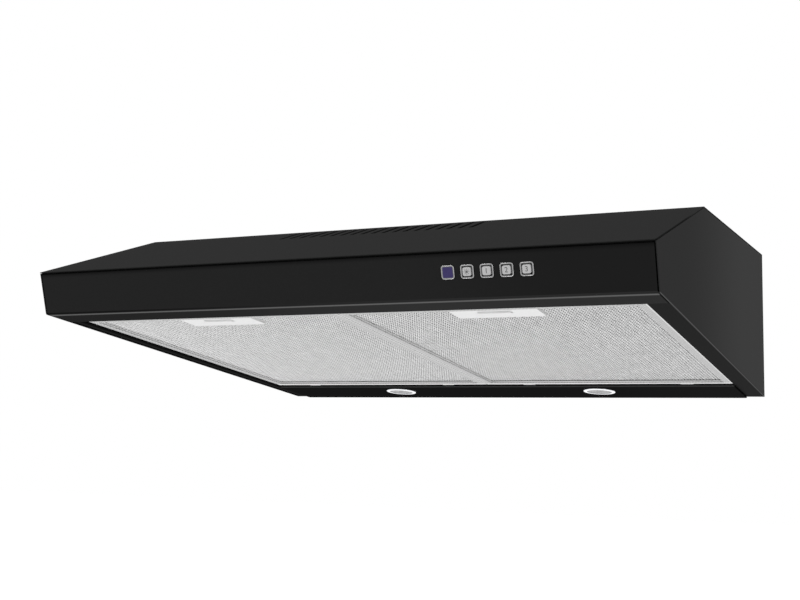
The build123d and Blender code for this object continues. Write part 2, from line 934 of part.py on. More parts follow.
with BuildPart() as indicator_lens:
    with BuildSketch(level(front_face, -carrier_level)):
        with Locations((control_x[0], -control_drop)):
            RectangleRounded(
                bezel_opening - 2 * fit_gap,
                bezel_opening - 2 * fit_gap,
                opening_round - fit_gap,
            )
    extrude(amount=carrier_level + bezel_flange + seat_gap)
save(indicator_lens, "indicator_lens")

with BuildPart() as button_carrier:
    with BuildSketch(level(front_face, -carrier_level)):
        with Locations((carrier_mid, -control_drop)):
            RectangleRounded(carrier_span, carrier_height, corner_round)
        with Locations(*[(x, -control_drop) for x in control_x[1:]]):
            Circle(stem_radius + 2 * fit_gap, mode=Mode.SUBTRACT)
    extrude(amount=-carrier_thickness)
    post_x = carrier_span / 2 - post_radius - fit_gap
    with BuildSketch(level(front_face, -carrier_level)):
        with Locations((carrier_mid - post_x, -control_drop), (carrier_mid + post_x, -control_drop)):
            Circle(post_radius)
    extrude(amount=bezel_depth)
save(button_carrier, "button_carrier")

switch_level = carrier_level + carrier_thickness
switch_span = (control_count - 2) * control_pitch + 2 * switch_margin
switch_mid = (control_x[1] + control_x[-1]) / 2
with BuildPart() as switch_bank:
    with BuildSketch(level(front_face, -switch_level)):
        with Locations((switch_mid, -control_drop)):
            RectangleRounded(switch_span, switch_height, corner_round)
    extrude(amount=-switch_depth)
    with BuildSketch(level(front_face, -switch_level)):
        with Locations(*[(x, -control_drop) for x in control_x[1:]]):
            Circle(stem_radius + 2 * fit_gap)
    extrude(
        amount=-(stem_into_switch + button_travel + seat_gap * 2),
        mode=Mode.SUBTRACT,
    )
save(switch_bank, "switch_bank")

button_names = ("button_light", "button_speed_1", "button_speed_2", "button_speed_3")
cap_front = bezel_flange + button_proud
for name, x in zip(button_names, control_x[1:]):
    with BuildPart() as button:
        with BuildSketch(level(front_face, cap_front)):
            with Locations((x, -control_drop)):
                RectangleRounded(button_size, button_size, corner_round)
        extrude(amount=-(button_length - button_travel))
        rim = button.faces().sort_by(Axis(front_face.origin, front_face.z_dir))[-1]
        fillet(rim.edges(), corner_round / 4)
        with BuildSketch(level(front_face, cap_front)):
            with Locations((x, -control_drop)):
                Circle(stem_radius)
        extrude(amount=-(cap_front + switch_level + stem_into_switch))
    save(button, name)

# Collar with its square flange and sockets for the dampers
collar_radius = duct_radius - collar_clearance
damper_z = damper_level
with BuildPart() as collar:
    with BuildSketch(Plane.XY):
        with Locations((0, collar_y)):
            RectangleRounded(
                box_width + 2 * collar_overhang,
                box_depth + 2 * collar_overhang,
                4 * corner_round,
            )
            Circle(duct_bore, mode=Mode.SUBTRACT)
    extrude(amount=collar_flange_thickness)
    with BuildSketch(Plane.XY):
        with Locations((0, collar_y)):
            Circle(collar_radius)
            Circle(duct_bore, mode=Mode.SUBTRACT)
    extrude(amount=collar_height)
    with BuildSketch(Plane.YZ.offset(-collar_radius + seat_gap * 2)):
        with Locations(
            (collar_y - damper_axis_offset, damper_z),
            (collar_y + damper_axis_offset, damper_z),
        ):
            Circle(damper_pin_radius + pin_gap)
    extrude(amount=2 * (collar_radius - seat_gap * 2), mode=Mode.SUBTRACT)
    with BuildSketch(Plane.XY.offset(collar_flange_thickness)):
        with Locations(*collar_points):
            Circle(screw_radius + screw_clearance)
    extrude(amount=-collar_flange_thickness, mode=Mode.SUBTRACT)
save(collar, "collar")

# Damper seat: a ring with a centre bar, cut down where the pins pass
seat_top = damper_z - damper_thickness / 2 - seat_gap
with BuildPart() as damper_seat:
    with BuildSketch(Plane.XY.offset(seat_top)):
        with Locations((0, collar_y)):
            Circle(duct_bore - fit_gap)
            Circle(duct_bore - damper_ledge, mode=Mode.SUBTRACT)
            Rectangle(
                2 * collar_radius,
                2 * damper_axis_offset + 4 * damper_pin_radius,
                mode=Mode.SUBTRACT,
            )
            Rectangle(2 * (duct_bore - damper_ledge + fit_gap), damper_bar)
    extrude(amount=-damper_ledge_thickness)
    with BuildSketch(Plane.XY.offset(seat_top - damper_ledge_thickness)):
        with Locations((0, collar_y)):
            Circle(duct_bore - fit_gap)
            Circle(duct_bore - damper_ledge, mode=Mode.SUBTRACT)
            Rectangle(2 * (duct_bore - damper_ledge + fit_gap), damper_bar)
    extrude(amount=-damper_ledge_thickness)
save(damper_seat, "damper_seat")

# Damper flaps: two half discs that hang on moulded pins beside the centre bar
damper_radius = duct_bore - damper_rim_gap
pin_reach = sqrt(collar_radius**2 - damper_axis_offset**2) - 4 * seat_gap
for name, side in (("damper_front", -1), ("damper_rear", 1)):
    axis_y = collar_y + side * damper_axis_offset
    with BuildPart() as damper:
        with BuildSketch(Plane.XY.offset(damper_z - damper_thickness / 2)):
            with Locations((0, collar_y)):
                Circle(damper_radius)
            with Locations((0, axis_y)):
                Rectangle(
                    2 * duct_radius,
                    2 * duct_radius,
                    align=(Align.CENTER, Align.MAX if side > 0 else Align.MIN),
                    mode=Mode.SUBTRACT,
                )
        extrude(amount=damper_thickness)
        with BuildSketch(Plane.YZ.offset(-pin_reach)):
            with Locations((axis_y, damper_z)):
                Circle(damper_pin_radius)
        extrude(amount=2 * pin_reach)
    save(damper, name)

# Outlet box under the collar, open to the blower, the collar and the air guide
box_floor = sheet + box_height
axle_y = box_front + plastic + flap_axis_back
axle_z = -sheet - flap_axis_drop
with BuildPart() as outlet_box:
    with BuildSketch(Plane.XY.offset(-sheet)):
        with Locations((0, collar_y)):
            Rectangle(box_width, box_depth)
    extrude(amount=-box_height)
    with BuildSketch(Plane.XY.offset(-sheet - plastic)):
        with Locations((0, collar_y)):
            Rectangle(box_width - 2 * plastic, box_depth - 2 * plastic)
    extrude(amount=-(box_height - 2 * plastic), mode=Mode.SUBTRACT)
    with BuildSketch(Plane.XY.offset(-sheet)):
        with Locations((0, box_front + roof_opening_front)):
            Rectangle(
                roof_opening_width,
                roof_opening_depth,
                align=(Align.CENTER, Align.MIN),
            )
    extrude(amount=-plastic, mode=Mode.SUBTRACT)
    with BuildSketch(Plane.XZ.offset(-box_front)):
        with Locations((0, -sheet - front_opening_top)):
            Rectangle(
                front_opening_width,
                front_opening_height,
                align=(Align.CENTER, Align.MAX),
            )
    extrude(amount=-plastic, mode=Mode.SUBTRACT)
    with BuildSketch(Plane.YZ.offset(-box_half)):
        with BuildLine():
            Polyline(
                (fan_y + exit_low, -bush_height - sheet - plastic),
                (fan_y + exit_high, -bush_height - sheet - plastic),
                (fan_y + exit_high, -bush_height - sheet - blower_height + plastic),
                (fan_y + exit_low, -bush_height - sheet - blower_height + plastic),
                close=True,
            )
        make_face()
    extrude(amount=plastic, mode=Mode.SUBTRACT)
    with BuildSketch(Plane.YZ.offset(-box_half)):
        with Locations((axle_y, axle_z)):
            Circle(axle_radius + pin_gap)
    extrude(amount=box_width, mode=Mode.SUBTRACT)
    with BuildSketch(Plane.XY.offset(-sheet - plastic)):
        with Locations(*collar_points):
            Circle(post_radius)
    extrude(amount=-boss_height)
    with BuildSketch(Plane.XY.offset(-sheet)):
        with Locations(*collar_points):
            Circle(screw_radius + screw_clearance)
    extrude(amount=-plastic - boss_height, mode=Mode.SUBTRACT)
save(outlet_box, "outlet_box")

with BuildPart() as diverter_flap:
    with BuildSketch(Plane.XY.offset(axle_z)):
        with Locations((0, axle_y)):
            Rectangle(flap_width, flap_thickness)
    extrude(amount=-flap_length)
    with BuildSketch(Plane.YZ.offset(-box_half + seat_gap)):
        with Locations((axle_y, axle_z)):
            Circle(axle_radius)
    extrude(amount=box_width + lever_thickness + seat_gap)
save(diverter_flap, "diverter_flap")

with BuildPart() as diverter_lever:
    with BuildSketch(Plane.YZ.offset(box_half + seat_gap)):
        with Locations((axle_y, axle_z)):
            Circle(lever_hub_radius)
            Rectangle(lever_width, lever_length, align=(Align.CENTER, Align.MAX))
            Circle(axle_radius + press_gap, mode=Mode.SUBTRACT)
        with Locations((axle_y, axle_z - lever_length)):
            Circle(lever_width * 0.75)
    extrude(amount=lever_thickness)
save(diverter_lever, "diverter_lever")

# Air guide: an open-topped channel from the outlet box to the vents
guide_half = front_opening_width / 2 + 2 * plastic
vent_front_y = along("slope", vent_from_bend + vent_length)[0]
flare_half = (vent_count - 1) * vent_pitch / 2 + vent_width / 2 + guide_side_margin
guide_front_y = vent_front_y - guide_front_margin
flare_end_y = guide_front_y + guide_mouth_depth
flare_start_y = flare_end_y + guide_flare_depth
guide_floor = front_opening_top + front_opening_height + sheet + plastic


def guide_solid(inset):
    """Channel as a closed block, made smaller by inset at its sides and floor."""
    with BuildPart(mode=Mode.PRIVATE) as block:
        with BuildSketch(Plane.XY.offset(-rear_height)):
            with BuildLine():
                Polyline(
                    (guide_half - inset, box_front),
                    (-guide_half + inset, box_front),
                    (-guide_half + inset, flare_start_y),
                    (vent_shift - flare_half + inset, flare_end_y),
                    (vent_shift - flare_half + inset, guide_front_y + inset),
                    (vent_shift + flare_half - inset, guide_front_y + inset),
                    (vent_shift + flare_half - inset, flare_end_y),
                    (guide_half - inset, flare_start_y),
                    close=True,
                )
            make_face()
        extrude(amount=rear_height)
        with BuildSketch(Plane.YZ.offset(-half_width)):
            with BuildLine():
                Polyline(
                    (box_front, -sheet),
                    meet("slope", sheet, "top", sheet),
                    along("slope", slope_length, sheet),
                    along("slope", slope_length, guide_front_depth),
                    (guide_front_y, -guide_front_depth + inset),
                    (flare_start_y, -guide_floor + inset),
                    (box_front, -guide_floor + inset),
                    close=True,
                )
            make_face()
        extrude(amount=width, mode=Mode.INTERSECT)
    return block.part


with BuildPart() as air_guide:
    add(guide_solid(0.0))
    add(guide_solid(plastic), mode=Mode.SUBTRACT)
save(air_guide, "air_guide")

# Blower shells with their lugs, joined by flanges at the split
fan_axis = Axis((fan_x, fan_y, 0), (0, 0, 1))
fan_plane = Plane(origin=(fan_x, fan_y, 0), x_dir=(1, 0, 0), z_dir=(0, -1, 0))
blower_top = sheet + bush_height
blower_bottom = blower_top + blower_height
motor_screw_points = [
    (fan_x + motor_radius * 0.7 * cos(radians(a)), fan_y + motor_radius * 0.7 * sin(radians(a)))
    for a in (90, 210, 330)
]
with BuildPart() as blower_upper:
    with BuildSketch(Plane.XY.offset(-split_level)):
        add(scroll_outline(plastic))
    extrude(amount=split_level - blower_top)
    with BuildSketch(Plane.XY.offset(-split_level)):
        add(scroll_outline(plastic + shell_flange))
        with Locations((fan_x + exit_x, fan_y + exit_high)):
            Rectangle(
                exit_run,
                2 * duct_radius + 2 * duct_radius,
                align=(Align.MAX, Align.CENTER),
                mode=Mode.SUBTRACT,
            )
    extrude(amount=plastic)
    with BuildSketch(Plane.XY.offset(-blower_top - lug_thickness)):
        with Locations(*lug_points):
            Circle(lug_radius)
    extrude(amount=lug_thickness)
    with BuildSketch(Plane.XY.offset(-split_level)):
        add(scroll_outline(0.0))
    extrude(amount=split_level - blower_top - plastic, mode=Mode.SUBTRACT)
    with BuildSketch(Plane.XY.offset(-blower_top - lug_thickness)):
        with Locations(*lug_points):
            Circle(screw_radius + screw_clearance)
        with Locations(*motor_screw_points):
            Circle(screw_radius + screw_clearance)
    extrude(amount=lug_thickness, mode=Mode.SUBTRACT)
save(blower_upper, "blower_upper")

with BuildPart() as blower_lower:
    with BuildSketch(Plane.XY.offset(-blower_bottom)):
        add(scroll_outline(plastic))
    extrude(amount=blower_bottom - split_level)
    with BuildSketch(Plane.XY.offset(-split_level - plastic)):
        add(scroll_outline(plastic + shell_flange))
        with Locations((fan_x + exit_x, fan_y + exit_high)):
            Rectangle(
                exit_run,
                2 * duct_radius + 2 * duct_radius,
                align=(Align.MAX, Align.CENTER),
                mode=Mode.SUBTRACT,
            )
    extrude(amount=plastic)
    with BuildSketch(Plane.XY.offset(-blower_bottom + plastic)):
        add(scroll_outline(0.0))
    extrude(amount=blower_bottom - plastic - split_level, mode=Mode.SUBTRACT)
    with BuildSketch(Plane.XY.offset(-blower_bottom)):
        with Locations((fan_x, fan_y)):
            Circle(inlet_radius + plastic)
    extrude(amount=plastic + inlet_lip)
    with BuildSketch(Plane.XY.offset(-blower_bottom)):
        with Locations((fan_x, fan_y)):
            Circle(inlet_radius)
    extrude(amount=plastic + inlet_lip, mode=Mode.SUBTRACT)
save(blower_lower, "blower_lower")

with BuildPart() as blower_bushes:
    with BuildSketch(Plane.XY.offset(-blower_top)):
        with Locations(*lug_points):
            Circle(bush_radius)
            Circle(screw_radius + rubber_hole_gap, mode=Mode.SUBTRACT)
    extrude(amount=bush_height)
save(blower_bushes, "blower_bushes")

# Inlet grille: rings and spokes under the blower's inlet
with BuildPart() as inlet_grille:
    ring_outer = inlet_radius + grille_ring
    with BuildSketch(Plane.XY.offset(-blower_bottom)):
        with Locations((fan_x, fan_y)):
            Circle(ring_outer)
            Circle(inlet_radius - grille_bar, mode=Mode.SUBTRACT)
        for k in range(grille_rings):
            radius = (inlet_radius - grille_bar) * (k + 1) / (grille_rings + 1)
            with Locations((fan_x, fan_y)):
                Circle(radius + grille_bar / 2)
                Circle(radius - grille_bar / 2, mode=Mode.SUBTRACT)
                if k:
                    inner = (inlet_radius - grille_bar) * k / (grille_rings + 1)
                    Circle(inner + grille_bar / 2)
                    Circle(inner - grille_bar / 2, mode=Mode.SUBTRACT)
        with Locations((fan_x, fan_y)):
            with PolarLocations(inlet_radius / 2 + grille_bar, grille_spokes):
                Rectangle(inlet_radius - 4 * grille_bar, grille_bar)
    extrude(amount=-grille_thickness)
save(inlet_grille, "inlet_grille")

# Motor, hung from the top of the scroll
motor_top = blower_top + plastic
core_top = motor_top + bracket_height
core_bottom = core_top + core_height
motor_bottom = core_bottom + bracket_height
upper_bearing_top = motor_top + bracket_plate
lower_bearing_bottom = motor_bottom - bracket_plate
with BuildPart() as stator_core:
    with BuildSketch(Plane.XY.offset(-core_bottom)):
        with Locations((fan_x, fan_y)):
            Circle(motor_radius)
            Circle(core_bore, mode=Mode.SUBTRACT)
    extrude(amount=core_height)
save(stator_core, "stator_core")

with BuildPart() as stator_windings:
    for base in (-core_top, -core_bottom - winding_height):
        with BuildSketch(Plane.XY.offset(base)):
            with Locations((fan_x, fan_y)):
                Circle(core_bore + fit_gap + winding_width)
                Circle(core_bore + fit_gap, mode=Mode.SUBTRACT)
        extrude(amount=winding_height)
    rims = stator_windings.edges().filter_by(GeomType.CIRCLE)
    fillet(rims.group_by(Axis.Z)[0] + rims.group_by(Axis.Z)[-1], winding_round)
save(stator_windings, "stator_windings")


def bracket(plate_level, rim_level):
    """Motor end bracket: a plate, a windowed rim to the core, a bearing boss."""
    up = 1.0 if rim_level > plate_level else -1.0
    with BuildPart(mode=Mode.PRIVATE) as piece:
        with BuildSketch(Plane.XY.offset(plate_level)):
            with Locations((fan_x, fan_y)):
                Circle(motor_radius)
        extrude(amount=rim_level - plate_level)
        with BuildSketch(Plane.XY.offset(plate_level + up * bracket_plate)):
            with Locations((fan_x, fan_y)):
                Circle(motor_radius - bracket_wall)
                Circle(bearing_radius + bracket_plate, mode=Mode.SUBTRACT)
        extrude(amount=rim_level - plate_level - up * bracket_plate, mode=Mode.SUBTRACT)
        with BuildSketch(Plane.XY.offset(rim_level)):
            with Locations((fan_x, fan_y)):
                Circle(bearing_radius + 2 * bracket_plate)
        extrude(
            amount=-(rim_level - plate_level) + up * (bracket_plate + bearing_length),
            mode=Mode.SUBTRACT,
        )
        with BuildSketch(Plane.XY.offset(rim_level)):
            with Locations((fan_x, fan_y)):
                with PolarLocations(motor_radius, 4, start_angle=45):
                    Rectangle(motor_radius, motor_radius * 0.6)
                Circle(motor_radius - bracket_wall - fit_gap, mode=Mode.SUBTRACT)
        extrude(
            amount=-(rim_level - plate_level) + up * 2 * bracket_plate,
            mode=Mode.SUBTRACT,
        )
        with BuildSketch(Plane.XY.offset(plate_level)):
            with Locations((fan_x, fan_y)):
                Circle(bearing_radius + fit_gap / 2)
        extrude(amount=up * (bracket_plate + bearing_length), mode=Mode.SUBTRACT)
    return piece.part


with BuildPart() as motor_bracket_upper:
    add(bracket(-motor_top, -core_top))
    with BuildSketch(Plane.XY.offset(-motor_top)):
        with Locations(*motor_screw_points):
            Circle(screw_radius + screw_clearance)
    extrude(amount=-bracket_plate, mode=Mode.SUBTRACT)
save(motor_bracket_upper, "motor_bracket_upper")

with BuildPart() as motor_bracket_lower:
    add(bracket(-motor_bottom, -core_bottom))
save(motor_bracket_lower, "motor_bracket_lower")

with BuildPart() as motor_bearings:
    for base in (-motor_top - bracket_plate - bearing_length, -motor_bottom + bracket_plate):
        with BuildSketch(Plane.XY.offset(base)):
            with Locations((fan_x, fan_y)):
                Circle(bearing_radius)
                Circle(shaft_radius + shaft_clearance, mode=Mode.SUBTRACT)
        extrude(amount=bearing_length)
save(motor_bearings, "motor_bearings")

# Rotor, shaft, impeller and its nut
rotor_radius = core_bore - air_gap
hub_top = motor_bottom + dish_gap
with BuildPart() as rotor:
    with BuildSketch(Plane.XY.offset(-core_bottom - rotor_overlap)):
        with Locations((fan_x, fan_y)):
            Circle(rotor_radius)
            Circle(shaft_radius + press_gap, mode=Mode.SUBTRACT)
    extrude(amount=core_height + 2 * rotor_overlap)
save(rotor, "rotor")

shaft_bottom = hub_top + hub_height + nut_height + shaft_end
with BuildPart() as shaft:
    with BuildSketch(Plane.XY.offset(-shaft_bottom)):
        with Locations((fan_x, fan_y)):
            Circle(shaft_radius)
    extrude(amount=shaft_bottom - motor_top - shaft_top_gap)
save(shaft, "shaft")

with BuildPart() as impeller_nut:
    with BuildSketch(Plane.XY.offset(-hub_top - hub_height - nut_height)):
        with Locations((fan_x, fan_y)):
            RegularPolygon(nut_size, 6, major_radius=False)
            Circle(shaft_radius + press_gap, mode=Mode.SUBTRACT)
    extrude(amount=nut_height)
save(impeller_nut, "impeller_nut")

blade_top = blower_top + impeller_top - sheet
blade_bottom = blade_top + plastic + blade_height
dish_radius = motor_radius + dish_gap
dish_rim = dish_radius + 2 * dish_gap
with BuildPart() as blade:
    with BuildSketch(Plane.XY.offset(-blade_bottom)):
        with BuildLine():
            root = Vector(blade_inner_radius, 0)
            tip = Vector(impeller_radius - fit_gap, 0).rotate(Axis.Z, blade_sweep)
            root_back = root.rotate(Axis.Z, degrees(blade_thickness / blade_inner_radius))
            tip_back = tip.rotate(Axis.Z, degrees(blade_thickness / impeller_radius))
            bulge = (impeller_radius - blade_inner_radius)
            RadiusArc(root, tip, bulge)
            Line(tip, tip_back)
            RadiusArc(tip_back, root_back, -bulge)
            Line(root_back, root)
        make_face()
    extrude(amount=blade_height)

with BuildPart() as impeller:
    with BuildSketch(fan_plane):
        with BuildLine():
            Polyline(
                (shaft_radius + press_gap, -hub_top),
                (shaft_radius + press_gap, -hub_top - hub_height),
                (hub_radius, -hub_top - hub_height),
                (hub_radius, -hub_top - plastic),
                (dish_radius + plastic, -hub_top - plastic),
                (dish_rim + plastic, -blade_top - plastic),
                (impeller_radius, -blade_top - plastic),
                (impeller_radius, -blade_top),
                (dish_rim, -blade_top),
                (dish_radius, -hub_top),
                close=True,
            )
        make_face()
    revolve(axis=fan_axis)
    with Locations((fan_x, fan_y)):
        with PolarLocations(0, blade_count):
            add(blade.part)
    with BuildSketch(Plane.XY.offset(-blade_bottom - blade_ring_height)):
        with Locations((fan_x, fan_y)):
            Circle(impeller_radius)
            Circle((impeller_radius + blade_inner_radius) / 2, mode=Mode.SUBTRACT)
    extrude(amount=blade_ring_height)
save(impeller, "impeller")

# Electrics under the flat top, on the right
with BuildPart() as terminal_box:
    with BuildSketch(Plane.XY.offset(-sheet)):
        with Locations((terminal_x, terminal_y)):
            RectangleRounded(terminal_width, terminal_depth, 2 * corner_round)
    extrude(amount=-terminal_height)
    with BuildSketch(Plane.XY.offset(-sheet - plastic)):
        with Locations((terminal_x, terminal_y)):
            Rectangle(terminal_width - 2 * plastic, terminal_depth - 2 * plastic)
    extrude(amount=-(terminal_height - plastic), mode=Mode.SUBTRACT)
    with BuildSketch(Plane.XY.offset(-sheet)):
        with Locations((terminal_x, terminal_y)):
            Circle(grommet_radius)
    extrude(amount=-plastic, mode=Mode.SUBTRACT)
save(terminal_box, "terminal_box")

terminal_bottom = sheet + terminal_height
with BuildPart() as terminal_cover:
    with BuildSketch(Plane.XY.offset(-terminal_bottom)):
        with Locations((terminal_x, terminal_y)):
            RectangleRounded(terminal_width, terminal_depth, 2 * corner_round)
    extrude(amount=-terminal_lid)
    fillet(terminal_cover.faces().sort_by(Axis.Z)[0].edges(), corner_round)
    with BuildSketch(Plane.XY.offset(-terminal_bottom)):
        with Locations((terminal_x, terminal_y)):
            Rectangle(terminal_width - 2 * plastic, terminal_depth - 2 * plastic)
    extrude(amount=-(terminal_lid - plastic), mode=Mode.SUBTRACT)
save(terminal_cover, "terminal_cover")

with BuildPart() as terminal_block:
    with BuildSketch(Plane.XY.offset(-terminal_bottom - terminal_lid + plastic)):
        with Locations((terminal_x, terminal_y)):
            Rectangle(terminal_width * 0.6, terminal_depth * 0.35)
    extrude(amount=terminal_height * 0.6)
    with BuildSketch(Plane.XY.offset(-terminal_bottom - terminal_lid + plastic + terminal_height * 0.6)):
        with Locations((terminal_x, terminal_y)):
            with GridLocations(terminal_width * 0.13, 1, 4, 1):
                Circle(screw_radius)
    extrude(amount=-terminal_height * 0.2, mode=Mode.SUBTRACT)
save(terminal_block, "terminal_block")

with BuildPart() as led_driver:
    with BuildSketch(Plane.XY.offset(-sheet)):
        with Locations((driver_x, driver_y)):
            RectangleRounded(driver_width, driver_depth, 2 * corner_round)
    extrude(amount=-driver_height)
    fillet(led_driver.faces().sort_by(Axis.Z)[0].edges(), corner_round)
save(led_driver, "led_driver")

capacitor_z = -sheet - capacitor_foot - capacitor_radius
with BuildPart() as capacitor:
    with BuildSketch(Plane.YZ.offset(capacitor_x - capacitor_length / 2)):
        with Locations((capacitor_y, capacitor_z)):
            Circle(capacitor_radius)
    extrude(amount=capacitor_length)
    fillet(capacitor.edges().filter_by(GeomType.CIRCLE), corner_round)
    with BuildSketch(Plane.XY.offset(-sheet)):
        with Locations((capacitor_x, capacitor_y)):
            Rectangle(capacitor_length * 0.4, capacitor_radius)
    extrude(amount=-capacitor_foot - capacitor_radius / 2)
save(capacitor, "capacitor")

with BuildPart() as cable_grommet:
    with BuildSketch(Plane.XY):
        with Locations((terminal_x, terminal_y)):
            Circle(grommet_radius + plastic)
    extrude(amount=plastic)
    fillet(cable_grommet.faces().sort_by(Axis.Z)[-1].edges(), plastic / 2)
    with BuildSketch(Plane.XY):
        with Locations((terminal_x, terminal_y)):
            Circle(grommet_radius - fit_gap)
    extrude(amount=-(sheet + plastic))
    with BuildSketch(Plane.XY.offset(plastic)):
        with Locations((terminal_x, terminal_y)):
            Circle(cable_radius)
    extrude(amount=-(2 * plastic + sheet), mode=Mode.SUBTRACT)
save(cable_grommet, "cable_grommet")

# Internal leads, each clipped along its way
switch_rear = along("front", control_drop, switch_level + switch_depth)
inward_front = inward("front")
lead_x = switch_mid + control_pitch / 2
terminal_front = terminal_y - terminal_depth / 2
terminal_left = terminal_x - terminal_width / 2
lead_out = 12.0
lead_points = [
    (lead_x, *switch_rear),
    (
        lead_x,
        switch_rear[0] + inward_front[0] * lead_out,
        switch_rear[1] + inward_front[1] * lead_out,
    ),
    (lead_x, *meet("slope", lead_inset, "top", lead_inset)),
    (lead_x, terminal_front - 3 * lead_out, -lead_inset),
    (lead_x, terminal_front - lead_out, -sheet - terminal_height / 2),
    (lead_x, terminal_front, -sheet - terminal_height / 2),
]
motor_lead_z = -blower_top - terminal_height / 3
motor_lead_y = (box_back + y_wall - sheet) / 2
motor_lead_x = fan_x + exit_run
motor_points = [
    (motor_lead_x, fan_y + exit_high + plastic, motor_lead_z),
    (motor_lead_x, motor_lead_y, motor_lead_z),
    (terminal_left, motor_lead_y, motor_lead_z),
]
lamp_top = along("under", lamp_along, lamp_housing_height - bar_drop)
under_normal = inward("under")
feed_points = [
    (lamp_x[1], terminal_y, -terminal_bottom - terminal_lid),
    (lamp_x[1], terminal_y, -terminal_bottom - terminal_lid - 2 * lead_out),
    (
        lamp_x[1],
        lamp_top[0] + under_normal[0] * 2 * lead_out,
        lamp_top[1] + under_normal[1] * 2 * lead_out,
    ),
    (lamp_x[1], *lamp_top),
]
link_level = lamp_housing_height / 2 - bar_drop + link_radius + fit_gap
link_y, link_z = along("under", lamp_along, link_level)
with BuildPart() as wiring:
    for route, radius, bend in (
        (lead_points, lead_radius, [12, 30, 15, 15]),
        (motor_points, lead_radius, [15]),
        (feed_points, lead_radius, [20, 20]),
    ):
        with BuildLine() as path:
            FilletPolyline(*route, radius=bend)
        with BuildSketch(Plane(origin=path.line @ 0, z_dir=path.line % 0)):
            Circle(radius)
        sweep(path=path.line)
    with BuildSketch(Plane.YZ.offset(lamp_x[0] + sleeve_inner - fit_gap)):
        with Locations((link_y, link_z)):
            Circle(link_radius)
    extrude(amount=lamp_spacing - 2 * (sleeve_inner - fit_gap))
save(wiring, "wiring")

# Screws
end_height = along("under", end_screw_along, side_lip_height / 2)
with BuildPart() as case_screws:
    for side in (-1, 1):
        add(
            screw(
                Plane(
                    origin=(side * (bar_half - sheet), *end_height),
                    x_dir=(0, 1, 0),
                    z_dir=(-side, 0, 0),
                ),
                end_screw_length,
            )
        )
    for x, y in collar_points:
        add(screw(Plane(origin=(x, y, collar_flange_thickness)), collar_screw_length))
save(case_screws, "case_screws")

with BuildPart() as blower_screws:
    for x, y in lug_points:
        add(
            screw(
                Plane(origin=(x, y, -blower_top - lug_thickness), z_dir=(0, 0, -1)),
                lug_thickness + bush_height + sheet,
            )
        )
    for x, y in motor_screw_points:
        add(screw(Plane(origin=(x, y, -blower_top)), plastic + bracket_plate))
save(blower_screws, "blower_screws")
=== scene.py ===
"""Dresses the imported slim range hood: finishes, fine pieces, studio and camera."""

import logging
import math
from dataclasses import dataclass
from enum import Enum
from functools import cache
from typing import Sequence

import bmesh
import bpy
from mathutils import Matrix, Vector


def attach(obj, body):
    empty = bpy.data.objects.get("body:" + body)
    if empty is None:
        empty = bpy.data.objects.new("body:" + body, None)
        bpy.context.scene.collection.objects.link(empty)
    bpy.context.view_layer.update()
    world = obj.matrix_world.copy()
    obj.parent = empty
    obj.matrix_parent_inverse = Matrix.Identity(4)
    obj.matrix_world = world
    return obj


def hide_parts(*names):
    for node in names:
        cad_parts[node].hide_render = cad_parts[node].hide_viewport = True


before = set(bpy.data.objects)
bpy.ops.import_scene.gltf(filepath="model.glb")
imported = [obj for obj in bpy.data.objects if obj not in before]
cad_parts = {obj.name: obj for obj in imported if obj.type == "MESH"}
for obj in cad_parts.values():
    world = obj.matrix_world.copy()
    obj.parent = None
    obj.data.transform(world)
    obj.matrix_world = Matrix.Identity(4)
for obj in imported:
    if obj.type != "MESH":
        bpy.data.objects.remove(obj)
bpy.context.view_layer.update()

Triple = tuple[float, float, float]
Spot = tuple[Vector, Vector]
Socket = bpy.types.NodeSocket
NodeTree = bpy.types.NodeTree
Values = dict[str | int, object]

LOG = logging.getLogger("range_hood")
MM = 0.001
WHITE = (1.0, 1.0, 1.0, 1.0)
RIGHT, LEFT = (1.0, 0.0, 0.0), (-1.0, 0.0, 0.0)
REARWARD, FORWARD = (0.0, 1.0, 0.0), (0.0, -1.0, 0.0)
UP, DOWN = (0.0, 0.0, 1.0), (0.0, 0.0, -1.0)


class Body(str, Enum):
    """Groups of the hood that its fine pieces ride on."""

    CASE = "case"
    FILTER_LEFT = "filter_left"
    FILTER_RIGHT = "filter_right"
    LATCH_LEFT = "latch_left"
    LATCH_RIGHT = "latch_right"
    BUTTON_LIGHT = "button_light"
    BUTTON_SPEED_1 = "button_speed_1"
    BUTTON_SPEED_2 = "button_speed_2"
    BUTTON_SPEED_3 = "button_speed_3"


@dataclass(frozen=True)
class Slant:
    """A work plane on the case, such as its underside, in metres.

    Args:
        origin: Point where the plane's distances start.
        along: Unit vector of the distance along the plane.
        normal: Unit vector of the height over the plane.
    """

    origin: Vector
    along: Vector
    normal: Vector

    def at(self, x: float, distance: float, height: float) -> Vector:
        """Point of the frame at x, a distance and a height, all in millimetres."""
        along, up = self.along * (distance * MM), self.normal * (height * MM)
        return self.origin + Vector((x, 0.0, 0.0)) * MM + along + up

    def matrix(self, x: float, distance: float, height: float) -> Matrix:
        """Placement whose X is the hood's X and whose Y runs along the plane."""
        side = Vector(RIGHT)
        turn = Matrix((side, self.along, side.cross(self.along))).transposed()
        return Matrix.Translation(self.at(x, distance, height)) @ turn.to_4x4()


def slant(start: Vector, end: Vector) -> Slant:
    """Builds the work plane through two points of the side profile.

    Args:
        start: Where distances begin.
        end: A second point along the plane.

    Returns:
        The plane, with its normal to the left of the way in Y and Z.
    """
    along = (end - start).normalized()
    return Slant(start, along, Vector((0.0, -along.z, along.y)))


NOSE = Vector((0.0, -0.329, -0.0957))
FRONT_TOP = Vector((0.0, -0.340, -0.0558))
REAR_LOW = Vector((0.0, 0.160, -0.160))
UNDERSIDE = slant(NOSE, REAR_LOW)
FACE = slant(NOSE, FRONT_TOP)


